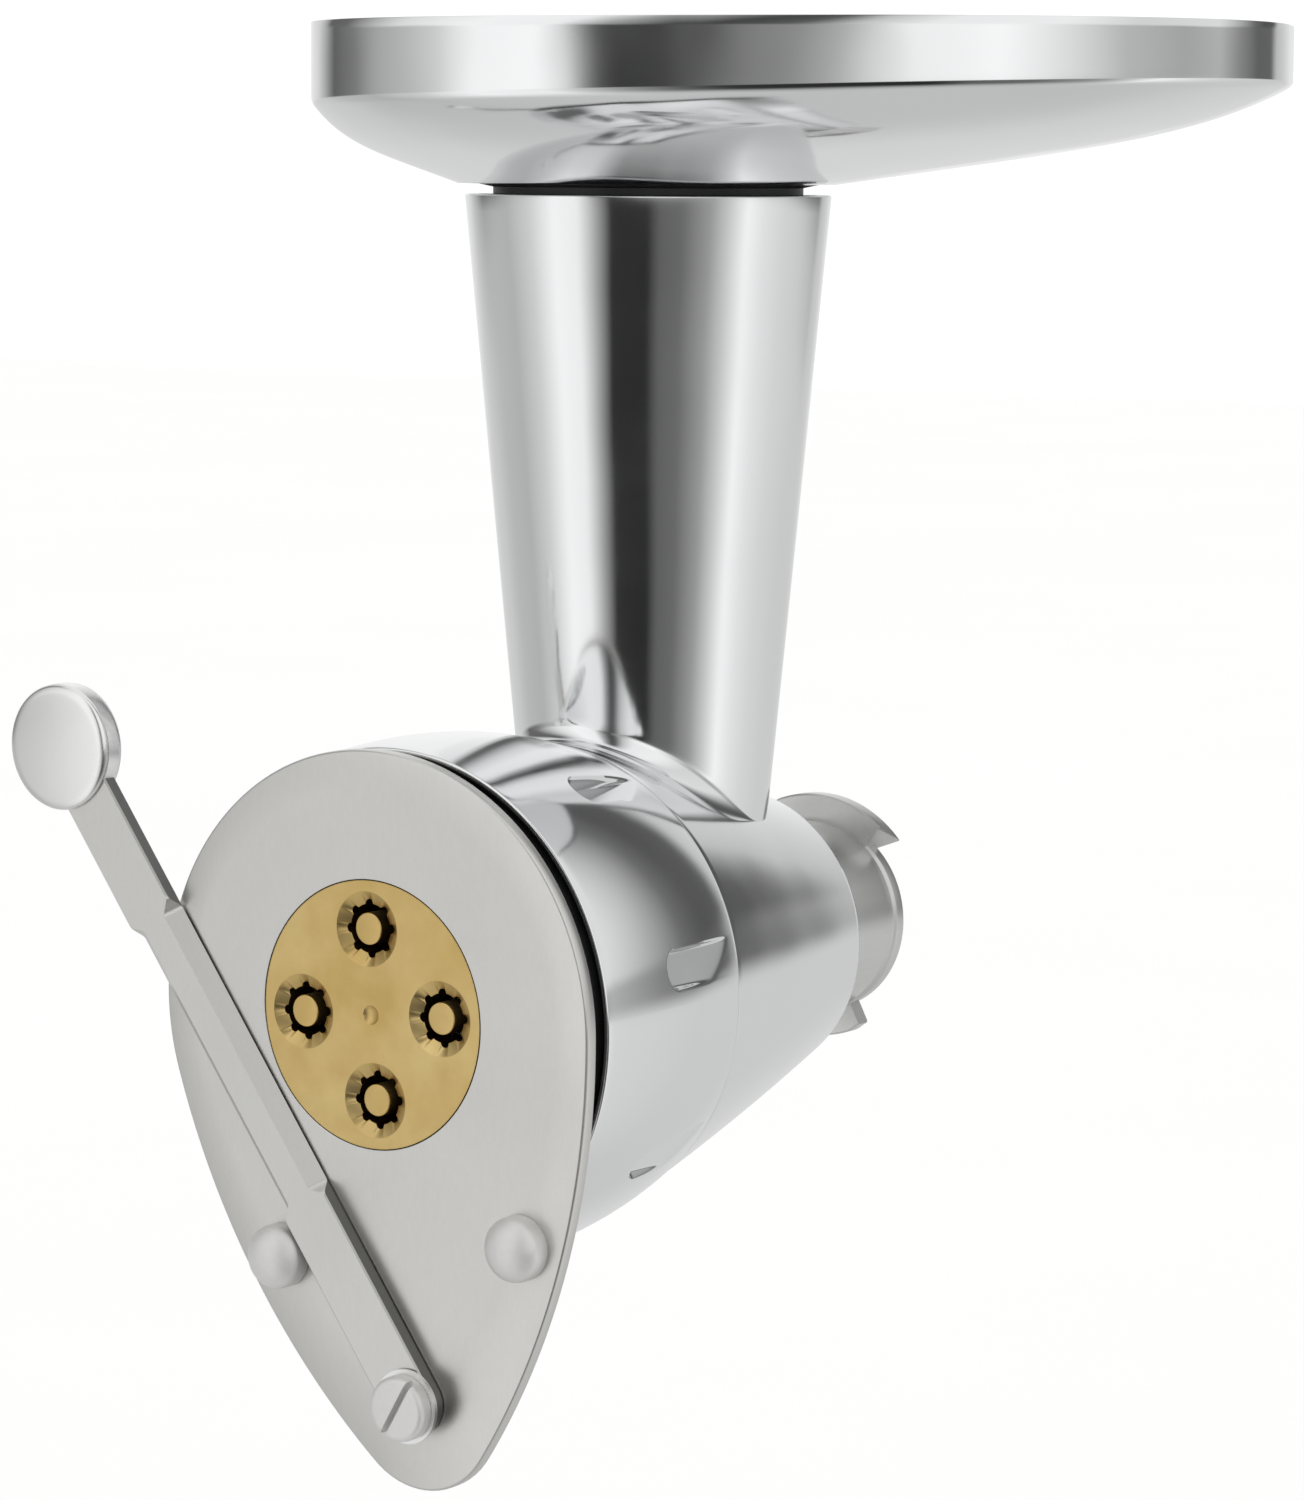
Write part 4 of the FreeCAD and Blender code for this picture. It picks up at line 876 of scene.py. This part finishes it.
def build_floor():
    """Wide pale floor below the held-up part."""
    size = 6.0
    level = cad_low.z - 0.16
    mesh = bpy.data.meshes.new("floor")
    mesh.from_pydata([(-size, -size, level), (size, -size, level), (size, size, level),
                      (-size, size, level)], [], [(0, 1, 2, 3)])
    floor = bpy.data.objects.new("floor", mesh)
    bpy.context.scene.collection.objects.link(floor)
    material, tree, shader = new_material("floor_paper", (0.93, 0.93, 0.925), 0, 0.9, 0.1)
    tree.links.new(shades(tree, noise(tree, 3, 3), (0.925, 0.925, 0.92), (0.935, 0.935, 0.93)),
                   shader.inputs["Base Color"])
    mesh.materials.append(material)
    floor.visible_glossy = False


# Brightness of the studio round the part, by degrees from the camera's side, positive to
# the camera's right. Each has a dark gap at the camera, a softbox on each side, grey walls
# and a white backdrop. LOW is below the part's level, LEVEL is level with it and HIGH above.
LOW = [(-180, 0.74), (-160, 0.70), (-140, 0.66), (-122, 0.55), (-100, 0.50), (-80, 0.70),
       (-62, 1.05), (-46, 0.98), (-34, 0.42), (-24, 0.03), (0, 0.025), (8, 0.13),
       (22, 0.16), (40, 0.36), (52, 0.65), (66, 1.05), (80, 0.88), (98, 0.76),
       (125, 0.68), (150, 0.66), (165, 0.70), (180, 0.74)]
LEVEL = [(-180, 0.98), (-150, 0.74), (-138, 0.45), (-128, 0.13), (-112, 0.22), (-98, 0.42),
         (-84, 0.53), (-72, 0.70), (-62, 1.05), (-47, 1.10), (-41, 0.80), (-36, 0.12),
         (-33, 0.045), (-27, 0.055), (-23, 0.22), (-14, 0.45), (-4, 1.0), (14, 1.1),
         (28, 0.86), (48, 0.52), (74, 0.42), (95, 0.50), (110, 0.26), (122, 0.13),
         (136, 0.14), (142, 0.55), (160, 0.78), (180, 0.98)]
HIGH = [(-180, 0.98), (-150, 0.70), (-141, 0.45), (-135, 0.13), (-120, 0.15), (-104, 0.50),
        (-90, 0.80), (-66, 1.05), (-44, 1.0), (-36, 0.36), (-28, 0.05), (-22, 0.10),
        (-14, 0.62), (-3, 0.95), (24, 1.0), (50, 0.75), (92, 0.82), (101, 0.60), (110, 0.36),
        (118, 0.16), (127, 0.09), (137, 0.10), (142, 0.60), (160, 0.80), (180, 0.98)]


def build_world():
    """Plain white for the eye and for soft light; softboxes and dark gaps for reflections."""
    world = bpy.data.worlds.new("studio")
    world.use_nodes = True
    bpy.context.scene.world = world
    tree = world.node_tree
    tree.nodes.clear()

    def node(kind, **settings):
        made = tree.nodes.new(kind)
        for name, value in settings.items():
            setattr(made, name, value)
        return made

    def math_node(operation, first, second=None):
        made = node("ShaderNodeMath", operation=operation)
        for index, value in enumerate((first, second)):
            if isinstance(value, (int, float)):
                made.inputs[index].default_value = value
            elif value is not None:
                tree.links.new(value, made.inputs[index])
        return made.outputs[0]

    place = node("ShaderNodeTexCoord")
    parts = node("ShaderNodeSeparateXYZ")
    tree.links.new(place.outputs["Generated"], parts.inputs[0])
    x, y, z = parts.outputs
    sin, cos = math.sin(VIEW_AZIMUTH), math.cos(VIEW_AZIMUTH)
    right = math_node("ADD", math_node("MULTIPLY", x, cos), math_node("MULTIPLY", y, sin))
    near = math_node("SUBTRACT", math_node("MULTIPLY", x, sin), math_node("MULTIPLY", y, cos))
    angle = math_node("ARCTAN2", right, near)

    def ring(stops, lean=0.0):
        """Brightness by direction round the part, leaning to one side with height."""
        leaned = math_node("ADD", angle, math_node("MULTIPLY", z, lean))
        share = math_node("ADD", math_node("DIVIDE", leaned, 2 * math.pi), 0.5)
        ramp = node("ShaderNodeValToRGB")
        elements = ramp.color_ramp.elements
        for element, (degrees, level) in zip(elements, (stops[0], stops[-1])):
            element.color = (level, level, level, 1)
        for degrees, level in stops[1:-1]:
            elements.new(degrees / 360 + 0.5).color = (level, level, level, 1)
        tree.links.new(share, ramp.inputs["Fac"])
        return ramp.outputs["Color"]

    def over(lower, upper, start, end):
        """Blends from one colour to another between two heights."""
        share = node("ShaderNodeMapRange", interpolation_type="SMOOTHSTEP")
        share.inputs["From Min"].default_value = start
        share.inputs["From Max"].default_value = end
        tree.links.new(z, share.inputs["Value"])
        mix = node("ShaderNodeMixRGB")
        tree.links.new(share.outputs["Result"], mix.inputs["Fac"])
        for socket, color in (("Color1", lower), ("Color2", upper)):
            if isinstance(color, tuple):
                mix.inputs[socket].default_value = color
            else:
                tree.links.new(color, mix.inputs[socket])
        return mix.outputs["Color"]

    studio = over(ring(LOW), ring(LEVEL), -0.13, -0.03)
    studio = over(studio, ring(HIGH, -0.35), 0.04, 0.12)
    studio = over((0.60, 0.60, 0.60, 1), studio, -0.98, -0.5)
    studio = over(studio, (0.88, 0.88, 0.89, 1), 0.72, 0.95)
    rays = node("ShaderNodeLightPath")
    pick = node("ShaderNodeMixRGB")
    pick.inputs["Color1"].default_value = (1.08, 1.08, 1.08, 1)
    tree.links.new(rays.outputs["Is Glossy Ray"], pick.inputs["Fac"])
    tree.links.new(studio, pick.inputs["Color2"])
    background = node("ShaderNodeBackground")
    tree.links.new(pick.outputs["Color"], background.inputs["Color"])
    output = node("ShaderNodeOutputWorld")
    tree.links.new(background.outputs[0], output.inputs["Surface"])


bpy.context.scene.view_settings.view_transform = "Standard"
build_camera()
build_floor()
build_world()
dress_cad_nodes()
build_tube()
build_housing()
build_hub()
build_nut()
build_die()
build_mandrels()
build_plate()
build_rivets()
build_screw()
build_carrier()
build_lever()
build_knob()
build_pan()
build_spigot()
